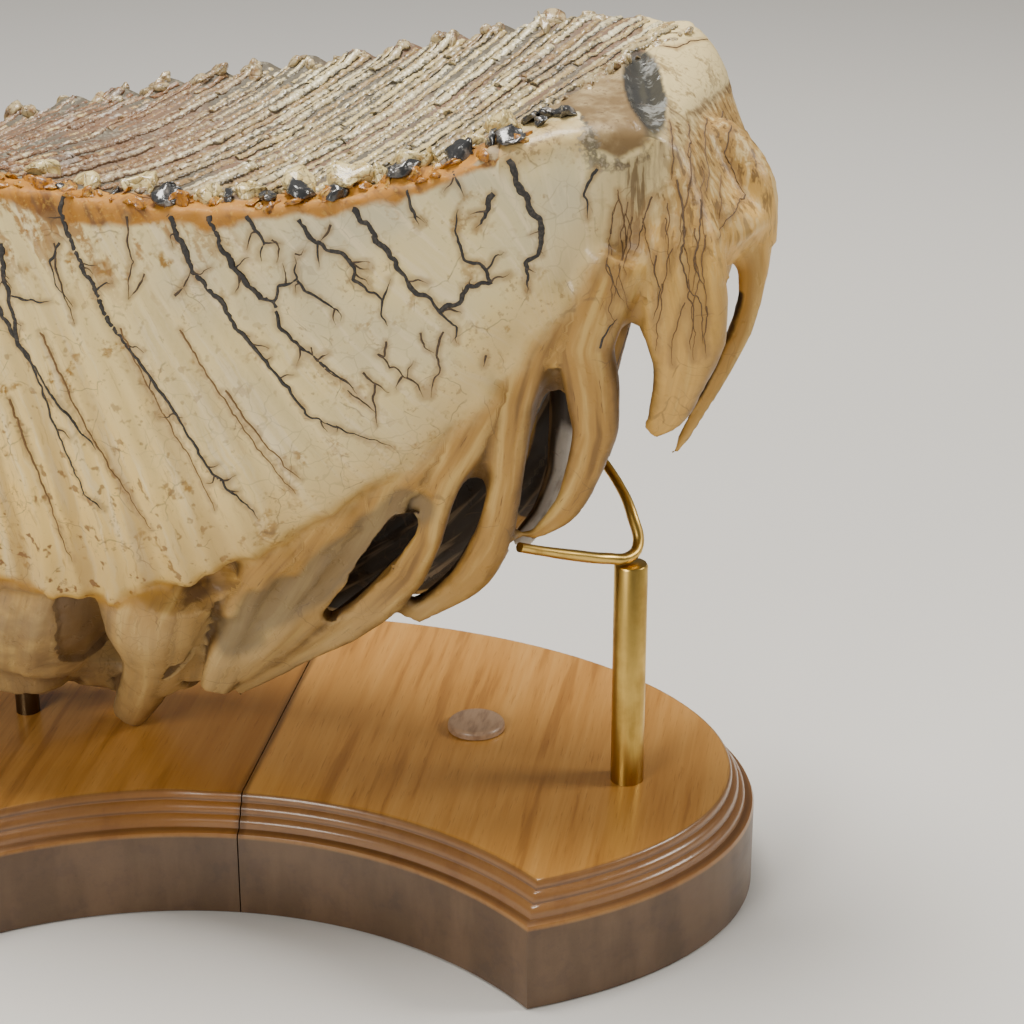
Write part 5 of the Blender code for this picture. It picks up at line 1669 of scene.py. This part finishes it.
    # the last of these layers is painted shade, darkest where the skin is most shut-in
    skin = skin.tint(slate, (oval + (mid - 0.5) * 0.35).ramp(-0.16, 0.1) * 0.95).coated(
        tones,
        fore=fore * height.ramp(174 * mm, 187 * mm) * 0.45,
        foreLight=upright.ramp(0.50, 0.38) * fore * 0.6,
        foreDark=upright.ramp(0.54, 0.62) * fore * 0.75,
        cavity=(f.attribute("cavity") + (mid - 0.5) * 0.7).ramp(0.38, 0.95) * 0.88)
    # painted shade inside the slits and behind the front rib, then painted light on the root face seen in the
    # front slit
    inner = f.blend(tones["inner"], fibre.ramp(0.56, 0.66) * 0.8)
    skin = skin.tint(inner, (f.attribute("shade") + (mid - 0.5) * 0.5).ramp(0.25, 0.6) * 0.95)
    litRootFace = f.blend(tones["litRootFace"], (fibre * 0.6 + mid * 0.4).ramp(0.46, 0.60) * 0.8)
    skin = skin.tint(litRootFace, (f.attribute("pale") + (mid - 0.5) * 0.9).ramp(0.30, 0.85) * 0.85)
    # brown halo beside the cracks, and fine crackle in two sizes
    crackle = (1 - f.cellEdges(warped, 80.0).ramp(0.004, 0.016)) * mid.ramp(0.50, 0.60)
    finer = (1 - f.cellEdges(warped, 200.0).ramp(0.01, 0.035)) * wide.ramp(0.5, 0.6)
    skin = skin.coated(
        tones,
        halo=(f.attribute("halo") + mid - 0.8).ramp(0.0, 0.6) * 0.6 * (1 - top),
        crackle=(crackle * 0.6 + finer * 0.3).clip() * (1 - top) * 0.75)
    glass = oval.ramp(-0.1, 0.1)
    rough = 0.38 - 0.08 * crown + rusty * 0.16 + mid * 0.16 + fine * 0.08 + top * 0.2 - glass * 0.22
    # the height reads few patterns, because it is worked out three times for each hit
    relief = fine * (0.3 + top) + mid * 0.5 - pits * 0.8 + fibre * 1.4 * (1 - level.ramp(-1.0, 1.0))
    coat = ((1 - top) * (0.06 + 0.14 * crown) * (1 - rusty) + glass * 0.6).clip()
    return f.join(Base_Color=skin, Roughness=rough, Coat_Weight=coat, Normal=f.bump(relief, 0.35, 0.35 * mm))


def markHalo(mesh, lines, reach=2.2):
    # how close each point of the tooth is to a dark crack, found from thin upright ribbons along the cracks
    verts, faces = [], []
    for line in lines:
        for i, (place, up, *_) in enumerate(line):
            verts += [Vector(place), Vector(place) + Vector(up) * 0.1 * mm]
            if i:
                n = len(verts)
                faces.append((n - 4, n - 3, n - 1, n - 2))
    ribbons = BVHTree.FromPolygons(verts, faces)
    halo = np.zeros(len(mesh.vertices))
    for i, point in enumerate(readVectors(mesh)):
        gap = ribbons.find_nearest(Vector(point), (reach + 0.2) * mm)[3]
        if gap is not None:
            halo[i] = max(0.0, 1 - gap / (reach * mm))
    writeValue(mesh, "halo", halo)


# Camera, light and floor

view = {
    "azimuth": 8.874, "elevation": 23.073, "distance": 604.913, "target": (57.922, -6.0, 94.563),
    "lens": 90.2, "sensor": 36.0, "clipStart": 0.01,
}


def placeView():
    turn, tilt = math.radians(view["azimuth"]), math.radians(view["elevation"])
    away = Vector((math.sin(turn) * math.cos(tilt), -math.cos(turn) * math.cos(tilt), math.sin(tilt)))
    data = bpy.data.cameras.new("camera")
    data.lens = view["lens"]
    data.sensor_width = view["sensor"]
    data.clip_start = view["clipStart"]
    camera = placed("camera", data)
    camera.location = (Vector(view["target"]) + away * view["distance"]) * mm
    camera.rotation_euler = (math.pi / 2 - tilt, 0.0, turn)
    bpy.context.scene.camera = camera


lights = {
    "world": 0.15, "worldTone": (1.0, 0.975, 0.94, 1.0), "lampTone": (1.0, 0.955, 0.88),
    "lamps": (("overhead", (-0.15, 0.10, 1.25), 24.0, 0.6), ("front", (-0.5, -1.1, 0.65), 9.2, 0.5),
              ("right", (1.1, 0.15, 0.75), 8.0, 0.4)),
    "aim": (0.02, 0.0, 0.11), "floorReach": 9.0, "floorTones": ((0.66, 0.65, 0.63), (0.62, 0.61, 0.59)),
}


def placeLights():
    world = bpy.data.worlds.new("softRoom")
    bpy.context.scene.world = world
    world.use_nodes = True
    sky = world.node_tree.nodes["Background"]
    sky.inputs["Color"].default_value = lights["worldTone"]
    sky.inputs["Strength"].default_value = lights["world"]
    for name, place, power, size in lights["lamps"]:
        data = bpy.data.lights.new(name, "AREA")
        data.energy = power
        data.color = lights["lampTone"]
        data.shape = "DISK"
        data.size = size
        lamp = placed(name, data)
        lamp.location = place
        lamp.rotation_euler = (Vector(lights["aim"]) - Vector(place)).to_track_quat("-Z", "Y").to_euler()


def placeFloor():
    paper = Finish("paleFloor", Roughness=0.85)
    tone = paper.blend(lights["floorTones"], paper.noise(paper.place, 3.0, 1.0) * 0.2)
    reach = lights["floorReach"]
    corners = ((-reach, -reach, 0), (reach, -reach, 0), (reach, reach, 0), (-reach, reach, 0))
    meshObject("floor", corners, ((0, 1, 2, 3),), paper.join(Base_Color=tone))


def settle(piece, slot, *nodes):
    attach(piece, "root")
    if nodes:
        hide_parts(*nodes)


placeView()
placeLights()
placeFloor()
for board, node in zip(buildPlinth(), ("plinth_board_left", "plinth_board_right")):
    settle(board, "oak", node)
print("plinth done")
post, peg, fork = buildBrass()
settle(post, "brass", "post_right")
settle(peg, "peg_metal", "peg_left")
settle(fork, "brass", "fork_wire")
settle(buildButton(), "button", "button_plug")
print("brass and button done")
body, bodyTree = shapeTooth()
cracked, crackLines = growCracks(bodyTree)
markHalo(body.data, crackLines)
body.data.materials.append(toothFinish())
settle(body, "tooth", "molar")
for piece in (cracked, *growRidges(bodyTree), *growNodules(bodyTree)):
    settle(piece, "tooth")
print("tooth done")
